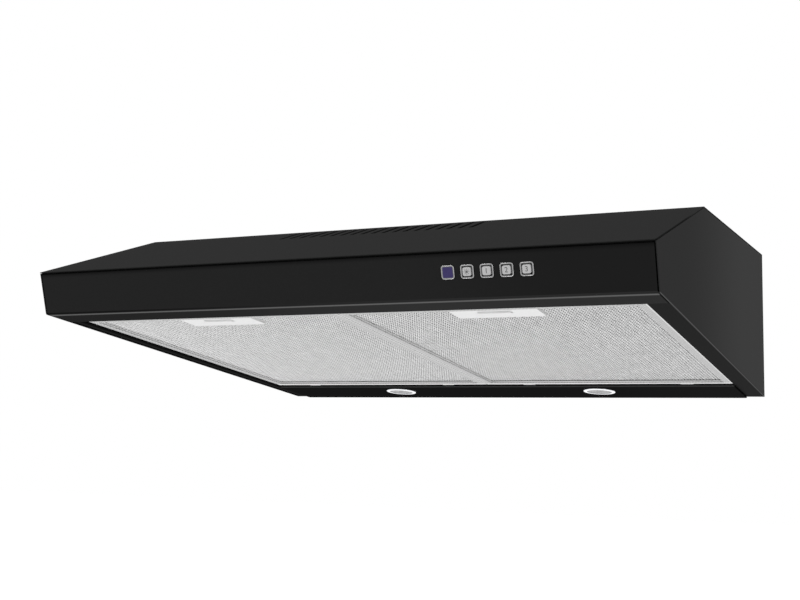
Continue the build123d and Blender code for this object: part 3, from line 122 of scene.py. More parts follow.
class Graph:
    """A node tree under construction.

    Args:
        tree: The tree that grows, such as a material's own.
    """

    def __init__(self, tree: NodeTree) -> None:
        """Starts on a tree."""
        self.tree = tree

    def port(self, way: str, label: str, kind: str) -> bpy.types.NodeTreeInterfaceSocket:
        """Adds an input or an output of one kind to the tree."""
        return self.tree.interface.new_socket(
            name=label, in_out=way, socket_type=f"NodeSocket{kind}"
        )

    def ends(self) -> None:
        """Adds the nodes that hold the tree's own inputs and outputs."""
        self.source = self.tree.nodes.new("NodeGroupInput")
        self.sink = self.tree.nodes.new("NodeGroupOutput")

    def __getitem__(self, label: str) -> Socket:
        """One of the tree's own inputs."""
        return self.source.outputs[label]

    def fill(self, node: bpy.types.Node, values: Values) -> None:
        """Sets inputs of a node.

        Args:
            node: The node.
            values: Input names or numbers with the socket or the value each takes.
        """
        for key, value in values.items():
            if isinstance(value, Socket):
                self.tree.links.new(value, node.inputs[key])
            else:
                node.inputs[key].default_value = value

    def node(self, kind: str, values: Values | None = None, **settings: object) -> bpy.types.Node:
        """Adds a node.

        Args:
            kind: Blender's type name of the node.
            values: Input names or numbers with the socket or the value each takes.
            **settings: Properties of the node.

        Returns:
            The new node.
        """
        made = self.tree.nodes.new(kind)
        for key, value in settings.items():
            setattr(made, key, value)
        self.fill(made, values or {})
        return made

    def out(
        self, kind: str, values: Values | None = None, label: str | int = 0, **settings: object
    ) -> Socket:
        """Adds a node, as node does, and returns its output of that name or number."""
        return self.node(kind, values, **settings).outputs[label]

    def math(self, operation: str, *terms: object) -> Socket:
        """Adds a math node on sockets or numbers and returns its result."""
        return self.out("ShaderNodeMath", dict(enumerate(terms)), operation=operation)

    def vector(self, **axes: object) -> Socket:
        """Joins axes, each a socket or a number, into a vector."""
        return self.out("ShaderNodeCombineXYZ", axes)

    def spread(self, value: Socket, ends: dict[str, object], **settings: object) -> Socket:
        """Maps a value from one range to another, by the ends that differ from 0 and 1."""
        return self.out("ShaderNodeMapRange", {"Value": value, **ends}, **settings)

    def mix(self, share: Socket, first: object, second: object) -> Socket:
        """Mixes two colours by a share of the second."""
        values = {"Factor": share, "A": first, "B": second}
        return self.out("ShaderNodeMix", values, "Result", data_type="RGBA")


class Effect(Graph):
    """A shader group that varies over the surface, for several finishes.

    Args:
        name: Name of the group.
        inputs: Its number and vector inputs with their defaults.
        *outputs: Names of its number outputs.
    """

    def __init__(self, name: str, inputs: dict[str, float | Triple], *outputs: str) -> None:
        """Starts the group with its inputs, outputs and the object's coordinates."""
        super().__init__(bpy.data.node_groups.new(name, "ShaderNodeTree"))
        for label, default in inputs.items():
            kind = "Float" if isinstance(default, float) else "Vector"
            self.port("INPUT", label, kind).default_value = default
        for label in outputs:
            self.port("OUTPUT", label, "Float")
        self.ends()
        self.place = self.out("ShaderNodeTexCoord", label="Object")

    def reach(self, way: str) -> Socket:
        """Distance of the surface along the direction that an input gives."""
        values = {0: self.place, 1: self[way]}
        return self.out("ShaderNodeVectorMath", values, "Value", operation="DOT_PRODUCT")

    def end(self, **results: Socket) -> NodeTree:
        """Links the outputs and returns the finished group."""
        self.fill(self.sink, results)
        return self.tree


@cache
def surface_grain() -> NodeTree:
    """Fine mottled grain: a height and a mask that vary over the surface."""
    group = Effect("surface_grain", {"Scale": 900.0, "Stretch": 1.0}, "Height", "Mask")
    squeeze = group.vector(X=1.0, Y=group["Stretch"], Z=1.0)
    scaled = group.out("ShaderNodeVectorMath", {0: group.place, 1: squeeze}, operation="MULTIPLY")
    noise = group.out(
        "ShaderNodeTexNoise",
        {"Vector": scaled, "Scale": group["Scale"], "Detail": 3.0, "Roughness": 0.6},
    )
    return group.end(Height=noise, Mask=group.spread(noise, {"From Min": 0.35, "From Max": 0.65}))


@cache
def foil_weave() -> NodeTree:
    """Diamond pattern of expanded foil: a height that is high on the strands."""
    group = Effect("foil_weave", {"Pitch X": 300.0, "Pitch Y": 200.0}, "Height", "Mask")
    split = group.node("ShaderNodeSeparateXYZ", {0: group.place}).outputs
    waves = []
    for axis in "XY":
        times = group.math("MULTIPLY", split[axis], group[f"Pitch {axis}"])
        waves.append(group.math("SINE", group.math("MULTIPLY", times, math.tau)))
    fold = group.math("ABSOLUTE", group.math("ADD", *waves))
    return group.end(Height=fold, Mask=group.spread(fold, {"From Min": 0.3, "From Max": 0.9}))


@cache
def plane_ramp() -> NodeTree:
    """Soft change along a direction: nought at its start and one at its end."""
    group = Effect("plane_ramp", {"Way": RIGHT, "Start": 0.0, "End": 1.0}, "Mask")
    ends = {"From Min": group["Start"], "From Max": group["End"]}
    return group.end(
        Mask=group.spread(group.reach("Way"), ends, interpolation_type="SMOOTHSTEP")
    )


@cache
def edge_line() -> NodeTree:
    """Mask that is one on the line where two planes cross and fades around it."""
    inputs = {"Way A": REARWARD, "At A": 0.0, "Way B": UP, "At B": 0.0, "Reach": 0.002}
    group = Effect("edge_line", inputs, "Mask")
    squares = []
    for plane in "AB":
        gap = group.math("SUBTRACT", group.reach(f"Way {plane}"), group[f"At {plane}"])
        squares.append(group.math("MULTIPLY", gap, gap))
    distance = group.math("SQRT", group.math("ADD", *squares))
    ends = {"From Max": group["Reach"], "To Min": 1.0, "To Max": 0.0}
    return group.end(Mask=group.spread(distance, ends, interpolation_type="SMOOTHSTEP"))


@dataclass(frozen=True)
class Ramp:
    """Mask that grows along a direction of the hood.

    Args:
        way: Direction of the growth, as a unit vector of the frame.
        start: Distance along it where the mask is nought, in metres.
        end: Distance where it is one.
    """

    way: Triple
    start: float
    end: float

    def mask(self, graph: Graph) -> Socket:
        """Adds the shared ramp to a material and returns its mask."""
        values = {"Way": self.way, "Start": self.start, "End": self.end}
        return graph.out("ShaderNodeGroup", values, "Mask", node_tree=plane_ramp())


@dataclass(frozen=True)
class Ridge:
    """Mask along an edge, which is where two planes of the hood cross.

    Args:
        way_a: Normal of the first plane.
        at_a: Distance of the first plane from the origin, in metres.
        way_b: Normal of the second plane.
        at_b: Distance of the second plane.
        reach: Distance from the edge at which the mask has faded out.
    """

    way_a: Triple
    at_a: float
    way_b: Triple
    at_b: float
    reach: float

    def mask(self, graph: Graph) -> Socket:
        """Adds the shared edge line to a material and returns its mask."""
        values = {
            "Way A": self.way_a, "At A": self.at_a,
            "Way B": self.way_b, "At B": self.at_b, "Reach": self.reach,
        }
        return graph.out("ShaderNodeGroup", values, "Mask", node_tree=edge_line())


def grey(tone: float) -> Triple:
    """Neutral linear colour of one tone."""
    return (tone, tone, tone)


class PaintedLight:
    """Painted light and shade: a grey that a finish takes where all of its masks are full.

    Args:
        tone: Linear tone of the grey.
        *masks: Where it lies.
    """

    def __init__(self, tone: float, *masks: Ramp | Ridge) -> None:
        """Keeps the tone and the masks."""
        self.tone = tone
        self.masks = masks

    def over(self, under: Socket, graph: Graph) -> Socket:
        """Lays the tint over a colour.

        Args:
            under: The colour below it.
            graph: Node tree of the material.

        Returns:
            The mixed colour.
        """
        share = self.masks[0].mask(graph)
        for extra in self.masks[1:]:
            share = graph.math("MULTIPLY", share, extra.mask(graph))
        return graph.mix(share, under, (*grey(self.tone), 1.0))


class Texture(Enum):
    """Which shared effect breaks up a finish."""

    GRAIN = "grain"
    WEAVE = "weave"


@dataclass(frozen=True)
class Finish:
    """A procedural surface finish.

    Args:
        name: Name of the material.
        color: Base colour, linear.
        second: Colour at the texture's other end.
        metallic: Metallic amount.
        roughness: Lowest roughness.
        spread: Roughness added where the texture's mask is full.
        specular: Specular level; half is a plain dielectric.
        coat: Weight of a clear coat.
        coat_roughness: Roughness of the clear coat.
        bump: Depth of the texture's relief in metres.
        scale: Size of the grain, as noise cells per metre.
        stretch: Grain density along Y over that along X, for brushed metal.
        texture: The shared effect.
        transmission: Share of light that passes through.
        slot: Slot of the record for this finish; not used.
        tints: Painted light and shade laid over the finish, in order.
    """

    name: str
    color: Triple
    second: Triple
    metallic: float = 0.0
    roughness: float = 0.5
    spread: float = 0.08
    specular: float = 0.5
    coat: float = 0.0
    coat_roughness: float = 0.1
    bump: float = 0.00002
    scale: float = 900.0
    stretch: float = 1.0
    texture: Texture = Texture.GRAIN
    transmission: float = 0.0
    slot: str = "black_plastic"
    tints: tuple[PaintedLight, ...] = ()

    def material(self) -> bpy.types.Material:
        """Returns the material, built on first use."""
        existing = bpy.data.materials.get(self.name)
        if existing is not None:
            return existing
        made = bpy.data.materials.new(self.name)
        made.use_nodes = True
        graph = Graph(made.node_tree)
        if self.texture is Texture.WEAVE:
            effect = graph.node("ShaderNodeGroup", node_tree=foil_weave()).outputs
        else:
            values = {"Scale": self.scale, "Stretch": self.stretch}
            effect = graph.node("ShaderNodeGroup", values, node_tree=surface_grain()).outputs
        color = graph.mix(effect["Mask"], (*self.second, 1.0), (*self.color, 1.0))
        for tint in self.tints:
            color = tint.over(color, graph)
        rough = {"To Min": self.roughness, "To Max": self.roughness + self.spread}
        relief = {"Height": effect["Height"], "Distance": self.bump, "Strength": 1.0}
        graph.fill(
            made.node_tree.nodes["Principled BSDF"],
            {
                "Base Color": color,
                "Metallic": self.metallic,
                "Roughness": graph.spread(effect["Mask"], rough),
                "Specular IOR Level": self.specular,
                "Coat Weight": self.coat,
                "Coat Roughness": self.coat_roughness,
                "Transmission Weight": self.transmission,
                "Normal": graph.out("ShaderNodeBump", relief),
            },
        )
        return made

    def dress(self, piece: bpy.types.Object) -> None:
        """Puts the finish on every slot of a piece.

        Args:
            piece: The node or new piece that takes it.
        """
        if not piece.material_slots:
            piece.data.materials.append(self.material())
        for place in piece.material_slots:
            place.link = "DATA"
            place.material = self.material()


INTO_CASE = tuple(UNDERSIDE.normal)
TO_WALL = tuple(UNDERSIDE.along)
UNDER_LEVEL = NOSE.dot(UNDERSIDE.normal)
NOSE_REACH = NOSE.dot(UNDERSIDE.along)
FACE_TOP = FRONT_TOP.dot(FACE.along)
FRONT_BEND = NOSE_REACH + 0.0048
FILTER_END = NOSE_REACH + 0.4052
BAR_BEND = NOSE_REACH + 0.4152
LAMP_ROW = NOSE_REACH + 0.4435
LAMP_X = 0.125
# Mask of the underside's flanges, where their light and shade are painted.
BELOW = Ramp(INTO_CASE, UNDER_LEVEL + 0.0016, UNDER_LEVEL + 0.0010)


def coat(name: str, tone: float, *tints: PaintedLight, shine: float = 0.05) -> Finish:
    """Black powder coat whose tone, shine and tints are set panel by panel to paint in that
    panel's light and shade.
    """
    return Finish(
        name, grey(tone), grey(tone * 1.12), spread=0.05, specular=0.0, coat=shine,
        coat_roughness=0.32, bump=0.000012, scale=700.0, slot="painted_steel", tints=tints,
    )


def under_line(side: Triple, x: float, reach: float) -> Ridge:
    """Edge on the underside that runs to the wall at x on one side, in metres."""
    return Ridge(side, x, INTO_CASE, UNDER_LEVEL, reach)


# Slope: its tone paints in its light, and a line of painted shade runs along its seam with the
# right side.
SLOPE_COAT = coat(
    "slope_coat", 0.0122, PaintedLight(0.001, Ramp(RIGHT, 0.2988, 0.2996), Ramp(FORWARD, 0.2, 0.24))
)
# Front panel: its tone paints in its light, and the tints below are painted light and shade.
FRONT_COAT = coat(
    "front_coat", 0.0125,
    # Painted shade: darker to the right.
    PaintedLight(0.0097, Ramp(RIGHT, 0.08, 0.24)),
    # Painted shade under the edge of the slope.
    PaintedLight(0.003, Ramp(tuple(FACE.along), FACE_TOP - 0.007, FACE_TOP - 0.001)),
    # Painted light: the flange lighter than the face.
    PaintedLight(0.021, BELOW),
    # Painted shade: the flange darker to the left.
    PaintedLight(0.0045, BELOW, Ramp(LEFT, -0.12, 0.22)),
    # Painted highlight along the bend.
    PaintedLight(0.15, Ridge(INTO_CASE, UNDER_LEVEL, TO_WALL, FRONT_BEND, 0.004)),
)
# Right side panel: its tone paints in its light.
SIDE_COAT = coat(
    "side_coat", 0.0175,
    # Painted light: lighter towards the rear.
    PaintedLight(0.034, Ramp(REARWARD, -0.26, 0.05)),
    # Painted shade: the flange darker.
    PaintedLight(0.0085, BELOW),
    # Painted highlight along the flange's outer edge.
    PaintedLight(0.085, under_line(RIGHT, 0.3, 0.0013)),
)
# Left side panel: its own tone and lower shine paint in its light and shade.
LEFT_COAT = coat(
    "left_side_coat", 0.02,
    # Painted shade: the flange nearly black.
    PaintedLight(0.0005, BELOW),
    # Painted highlight: a light line on the flange at its lip.
    PaintedLight(0.016, under_line(LEFT, 0.29, 0.0035)),
    shine=0.017,
)
# Light bar: its near-black tone and lower shine paint in its shade.
BAR_COAT = coat(
    "bar_coat", 0.0012,
    # Painted light: lighter towards the right.
    PaintedLight(0.005, Ramp(RIGHT, 0.12, 0.26)),
    # Painted highlight along the bar's bend.
    PaintedLight(0.05, Ridge(INTO_CASE, UNDER_LEVEL - 0.001, TO_WALL, BAR_BEND, 0.0016)),
    shine=0.022,
)
REAR_COAT = coat("rear_coat", 0.0155)
ZINC = Finish(
    "zinc_plate", (0.62, 0.62, 0.63), (0.52, 0.52, 0.54), metallic=1.0, roughness=0.32,
    spread=0.14, scale=260.0, slot="plated_steel",
)
FILTER_FRAME = Finish(
    "filter_frame_aluminium", grey(0.56), grey(0.42), metallic=0.45, roughness=0.45,
    spread=0.12, bump=0.0001, texture=Texture.WEAVE, slot="filter_aluminium",
    tints=(
        # Painted light: the frame lighter where it lies deeper than its rails' faces, over the
        # shade of the inner legs.
        PaintedLight(0.95, Ramp(INTO_CASE, UNDER_LEVEL + 0.0019, UNDER_LEVEL + 0.0023)),
        # Painted light: a lighter streak along the middle, where the two filters meet.
        PaintedLight(0.85, Ridge(RIGHT, 0.0, INTO_CASE, UNDER_LEVEL + 0.001, 0.003)),
        # Painted highlight along the right filter's outer edge.
        PaintedLight(0.75, Ramp(RIGHT, 0.2782, 0.279)),
        # Painted light: the rear edge of the frames lighter.
        PaintedLight(0.95, Ramp(TO_WALL, FILTER_END, NOSE_REACH + 0.406)),
    ),
)
FILTER_PLATE = Finish(
    "handle_plate_aluminium", grey(0.88), grey(0.84), metallic=0.3, scale=420.0,
    bump=0.000006, slot="filter_aluminium",
)
FOIL = Finish(
    "filter_foil", grey(0.52), grey(0.40), metallic=0.5, spread=0.1, bump=0.0003,
    texture=Texture.WEAVE, slot="filter_aluminium",
)
STRAND = Finish(
    "foil_strand", grey(0.93), grey(0.80), metallic=0.7, roughness=0.45, spread=0.15,
    scale=260.0, stretch=0.12, slot="filter_aluminium",
)
CAST = Finish(
    "cast_alloy", (0.60, 0.61, 0.62), (0.52, 0.53, 0.54), metallic=1.0, spread=0.15,
    bump=0.00008, scale=700.0, slot="cast_aluminium",
)
LAMINATION = Finish(
    "core_lamination", (0.34, 0.34, 0.36), (0.2, 0.2, 0.22), metallic=1.0, roughness=0.42,
    spread=0.2, bump=0.00005, scale=120.0, slot="core_steel",
)
COPPER = Finish(
    "enamelled_copper", (0.63, 0.27, 0.10), (0.42, 0.15, 0.05), metallic=0.9, roughness=0.28,
    spread=0.15, coat=0.5, scale=1500.0, slot="copper_wire",
)
GROUND_STEEL = Finish(
    "ground_steel", (0.70, 0.70, 0.72), (0.62, 0.62, 0.64), metallic=1.0, roughness=0.2,
    spread=0.1, scale=600.0, slot="bearing_steel",
)
ROTOR_STEEL = Finish(
    "rotor_steel", (0.45, 0.45, 0.47), (0.36, 0.36, 0.38), metallic=1.0, roughness=0.34,
    spread=0.15, scale=500.0, slot="rotor_metal",
)
CHROME = Finish(
    "bright_chrome", (0.80, 0.81, 0.83), (0.76, 0.77, 0.79), metallic=1.0, roughness=0.1,
    spread=0.06, bump=0.000002, scale=400.0, slot="bezel_chrome",
)
SPRING = Finish(
    "spring_wire", (0.56, 0.56, 0.58), (0.48, 0.48, 0.5), metallic=1.0, roughness=0.25,
    spread=0.1, slot="spring_steel",
)
MOULDED_BLACK = Finish(
    "moulded_black", (0.022, 0.022, 0.024), (0.03, 0.03, 0.032), spread=0.12, specular=0.4,
    bump=0.00004, scale=1400.0,
)
MOULDED_GREY = Finish(
    "moulded_grey", (0.30, 0.31, 0.32), (0.26, 0.27, 0.28), spread=0.12, bump=0.00004,
    scale=1200.0, slot="grey_plastic",
)
MOULDED_WHITE = Finish(
    "moulded_white", (0.74, 0.74, 0.71), (0.68, 0.68, 0.65), roughness=0.42, spread=0.1,
    scale=1100.0, slot="white_plastic",
)
IMPELLER_BLACK = Finish(
    "impeller_black", (0.028, 0.028, 0.03), (0.04, 0.04, 0.042), roughness=0.38, spread=0.12,
    bump=0.00003,
)
KEY_GREY = Finish(
    "key_grey", grey(0.43), grey(0.38), roughness=0.4, spread=0.06, bump=0.00001,
    slot="button_plastic",
)
KEY_MARK = Finish("key_mark", grey(0.07), grey(0.09), spread=0.05, slot="button_plastic")
INDIGO = Finish(
    "indicator_indigo", (0.028, 0.020, 0.085), (0.034, 0.026, 0.100), roughness=0.4,
    spread=0.05, specular=0.2, bump=0.00001, scale=700.0, slot="indigo_lens",
)
DARK_SILVER = Finish(
    "dark_silver", grey(0.17), grey(0.21), metallic=0.8, roughness=0.35, bump=0.000004,
    scale=500.0, slot="bezel_chrome",
)
RIM_SILVER = Finish(
    "rim_silver", grey(0.50), grey(0.44), metallic=0.9, roughness=0.3, bump=0.000002,
    scale=400.0, slot="bezel_chrome",
)
GUIDE_BLACK = Finish(
    "guide_black", grey(0.006), grey(0.009), roughness=0.6, specular=0.1, bump=0.00004,
    scale=1400.0,
)
# Painted shade of the cross recess in a screw head.
RECESS_SHADE = Finish("screw_recess", grey(0.05), grey(0.08), metallic=0.6, slot="plated_steel")
RUBBER = Finish(
    "soft_rubber", grey(0.016), grey(0.024), roughness=0.75, spread=0.12, specular=0.3,
    bump=0.00006, scale=1600.0, slot="black_rubber",
)
SLEEVE = Finish(
    "loom_sleeve", (0.05, 0.05, 0.055), (0.035, 0.035, 0.04), roughness=0.55, spread=0.1,
    scale=1200.0, slot="lead_sleeve",
)
LAMP_LENS = Finish(
    "lamp_lens", grey(0.34), grey(0.28), roughness=0.25, spread=0.1, transmission=0.12,
    bump=0.0001, slot="lamp_glass",
    # Painted shade: a darker spot in the middle of each lens.
    tints=tuple(PaintedLight(0.07, Ridge(TO_WALL, LAMP_ROW, RIGHT, x, 0.0075)) for x in (-LAMP_X, LAMP_X)),
)


def pair(name: str) -> tuple[str, str]:
    """Names of the left and the right node of one kind."""
    return f"{name}_left", f"{name}_right"


NODE_FINISHES: dict[Finish, tuple[str, ...]] = {
    SLOPE_COAT: ("top_panel",),
    FRONT_COAT: ("front_panel",),
    SIDE_COAT: ("side_panel_right",),
    LEFT_COAT: ("side_panel_left",),
    BAR_COAT: ("light_bar",),
    REAR_COAT: ("rear_panel",),
    ZINC: ("terminal_box", "terminal_cover", "case_screws", "blower_screws", "impeller_nut"),
    FILTER_FRAME: pair("filter_frame"),
    FILTER_PLATE: pair("filter_handle") + pair("filter_latch"),
    FOIL: pair("filter_mesh"),
    CAST: ("motor_bracket_upper", "motor_bracket_lower"),
    LAMINATION: ("stator_core",),
    COPPER: ("stator_windings",),
    GROUND_STEEL: ("motor_bearings", "shaft"),
    ROTOR_STEEL: ("rotor",),
    CHROME: pair("lamp_bezel"),
    DARK_SILVER: ("button_bezels",),
    GUIDE_BLACK: ("air_guide",),
    SPRING: pair("latch_spring"),
    MOULDED_BLACK: (
        "inlet_grille", "outlet_box", "collar", "damper_seat", "button_carrier", "switch_bank",
        "diverter_flap", "diverter_lever", "damper_front", "damper_rear", *pair("lamp_housing"),
    ),
    MOULDED_GREY: ("blower_upper", "blower_lower", "led_driver"),
    MOULDED_WHITE: ("terminal_block", "capacitor"),
    IMPELLER_BLACK: ("impeller",),
    KEY_GREY: ("button_light", "button_speed_1", "button_speed_2", "button_speed_3"),
    INDIGO: ("indicator_lens",),
    RUBBER: ("blower_bushes", "cable_grommet"),
    SLEEVE: ("wiring",),
    LAMP_LENS: pair("lamp_lens"),
}


def dress_nodes() -> None:
    """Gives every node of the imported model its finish."""
    for finish, names in NODE_FINISHES.items():
        for name in names:
            finish.dress(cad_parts[name])
    LOG.info("dressed %d nodes", sum(len(names) for names in NODE_FINISHES.values()))


def shown(name: str, data: bpy.types.ID) -> bpy.types.Object:
    """Adds an object that shows a mesh, a text, a light or a camera to the scene."""
    made = bpy.data.objects.new(name, data)
    bpy.context.scene.collection.objects.link(made)
    return made


def plain_mesh(carrier: bpy.types.Object) -> bpy.types.Mesh:
    """Turns what an object shows into a plain mesh.

    Args:
        carrier: The object, which is removed.

    Returns:
        The evaluated mesh.
    """
    bpy.context.view_layer.update()
    shot = carrier.evaluated_get(bpy.context.evaluated_depsgraph_get())
    mesh = bpy.data.meshes.new_from_object(shot)
    carrier.modifiers.clear()
    bpy.data.objects.remove(carrier)
    return mesh


class Tree(Graph):
    """A geometry node tree under construction.

    Args:
        name: Name of the tree.
        lengths: Its length inputs with their values in millimetres.
        **counts: Its whole-number inputs with their values.
    """

    def __init__(self, name: str, lengths: dict[str, float], **counts: int) -> None:
        """Starts the tree with a geometry and a material input."""
        super().__init__(bpy.data.node_groups.new(name, "GeometryNodeTree"))
        self.values = {label: length * MM for label, length in lengths.items()} | counts
        for label in ("Geometry", "Material"):
            self.port("INPUT", label, label)
        for label, value in self.values.items():
            self.port("INPUT", label, "Int" if isinstance(value, int) else "Float")
        self.port("OUTPUT", "Geometry", "Geometry")
        self.ends()

    def moved(self, part: Socket, height: Socket) -> Socket:
        """Moves a part of the tree up by a height."""
        shift = self.vector(Z=height)
        return self.out("GeometryNodeTransform", {"Geometry": part, "Translation": shift})

    def block(self, wide: str, deep: str, tall: str) -> Socket:
        """Makes a box from three of the tree's inputs, along X, Y and Z."""
        size = self.vector(X=self[wide], Y=self[deep], Z=self[tall])
        return self.out("GeometryNodeMeshCube", {"Size": size})

    def circle(self, radius: Socket, points: int) -> Socket:
        """Makes a round curve."""
        values = {"Resolution": points, "Radius": radius}
        return self.out("GeometryNodeCurvePrimitiveCircle", values)

    def oblong(self, wide: Socket, tall: Socket) -> Socket:
        """Makes a rectangular curve."""
        values = {"Width": wide, "Height": tall}
        return self.out("GeometryNodeCurvePrimitiveQuadrilateral", values)

    def swept(self, path: Socket, profile: Socket) -> Socket:
        """Runs a profile along curves, with closed ends."""
        values = {"Curve": path, "Profile Curve": profile, "Fill Caps": True}
        return self.out("GeometryNodeCurveToMesh", values)

    def on_spots(self, *parts: Socket) -> Socket:
        """Joins parts and puts them on every spot, with Z along the spot's way.

        Args:
            *parts: What stands on each spot.

        Returns:
            The instances.
        """
        joined = self.node("GeometryNodeJoinGeometry")
        for part in parts:
            self.tree.links.new(part, joined.inputs[0])
        way = self.out(
            "GeometryNodeInputNamedAttribute", {"Name": "way"}, data_type="FLOAT_VECTOR"
        )
        turn = self.out("FunctionNodeAlignRotationToVector", {"Vector": way}, axis="Z")
        return self.out(
            "GeometryNodeInstanceOnPoints",
            {"Points": self["Geometry"], "Instance": joined.outputs[0], "Rotation": turn},
        )

    def bake(self, geometry: Socket, finish: Finish, spots: Sequence[Spot] = ()) -> bpy.types.Mesh:
        """Ends the tree and turns what it makes into a plain mesh.

        Args:
            geometry: What the tree puts out.
            finish: Finish of the mesh.
            spots: Places that the tree's own geometry input holds, each with its way.

        Returns:
            The evaluated mesh.
        """
        real = self.out("GeometryNodeRealizeInstances", {"Geometry": geometry})
        values = {"Geometry": real, "Material": self["Material"]}
        self.fill(self.sink, {0: self.out("GeometryNodeSetMaterial", values)})
        seeds = bpy.data.meshes.new(self.tree.name)
        if spots:
            seeds.from_pydata([tuple(place) for place, _ in spots], [], [])
            ways = seeds.attributes.new("way", "FLOAT_VECTOR", "POINT")
            for item, (_, way) in zip(ways.data, spots):
                item.vector = way
        carrier = shown(self.tree.name, seeds)
        modifier = carrier.modifiers.new("nodes", "NODES")
        modifier.node_group = self.tree
        given = {"Material": finish.material(), **self.values}
        for item in self.tree.interface.items_tree:
            if item.item_type == "SOCKET" and item.in_out == "INPUT" and item.name in given:
                modifier[item.identifier] = given[item.name]
        carrier.update_tag()
        return plain_mesh(carrier)


@dataclass
class Piece:
    """Turns meshes into named pieces of the hood that ride on a body."""

    name: str
    finish: Finish
    body: Body = Body.CASE

    def place(self, mesh: bpy.types.Mesh, replaces: Sequence[str] = ()) -> None:
        """Adds a mesh as a piece.

        Args:
            mesh: The mesh, already where it belongs.
            replaces: Nodes that this piece stands for.
        """
        made = shown(self.name, mesh)
        self.finish.dress(made)
        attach(made, self.body.value)
        for node in replaces:
            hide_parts(node)
        LOG.info("%s: %d faces on %s", self.name, len(mesh.polygons), self.body.value)

    def from_bmesh(self, shape: bmesh.types.BMesh) -> None:
        """Adds a bmesh as a piece, with its faces turned outwards.

        Args:
            shape: The bmesh, which is freed.
        """
        mesh = bpy.data.meshes.new(self.name)
        bmesh.ops.recalc_face_normals(shape, faces=shape.faces)
        shape.to_mesh(mesh)
        shape.free()
        self.place(mesh)

    def repeated(
        self, tree: Tree, parts: Sequence[Socket], spots: Sequence[Spot],
        replaces: Sequence[str] = (),
    ) -> None:
        """Puts parts of a tree on spots and adds them as one piece."""
        self.place(tree.bake(tree.on_spots(*parts), self.finish, spots), replaces)


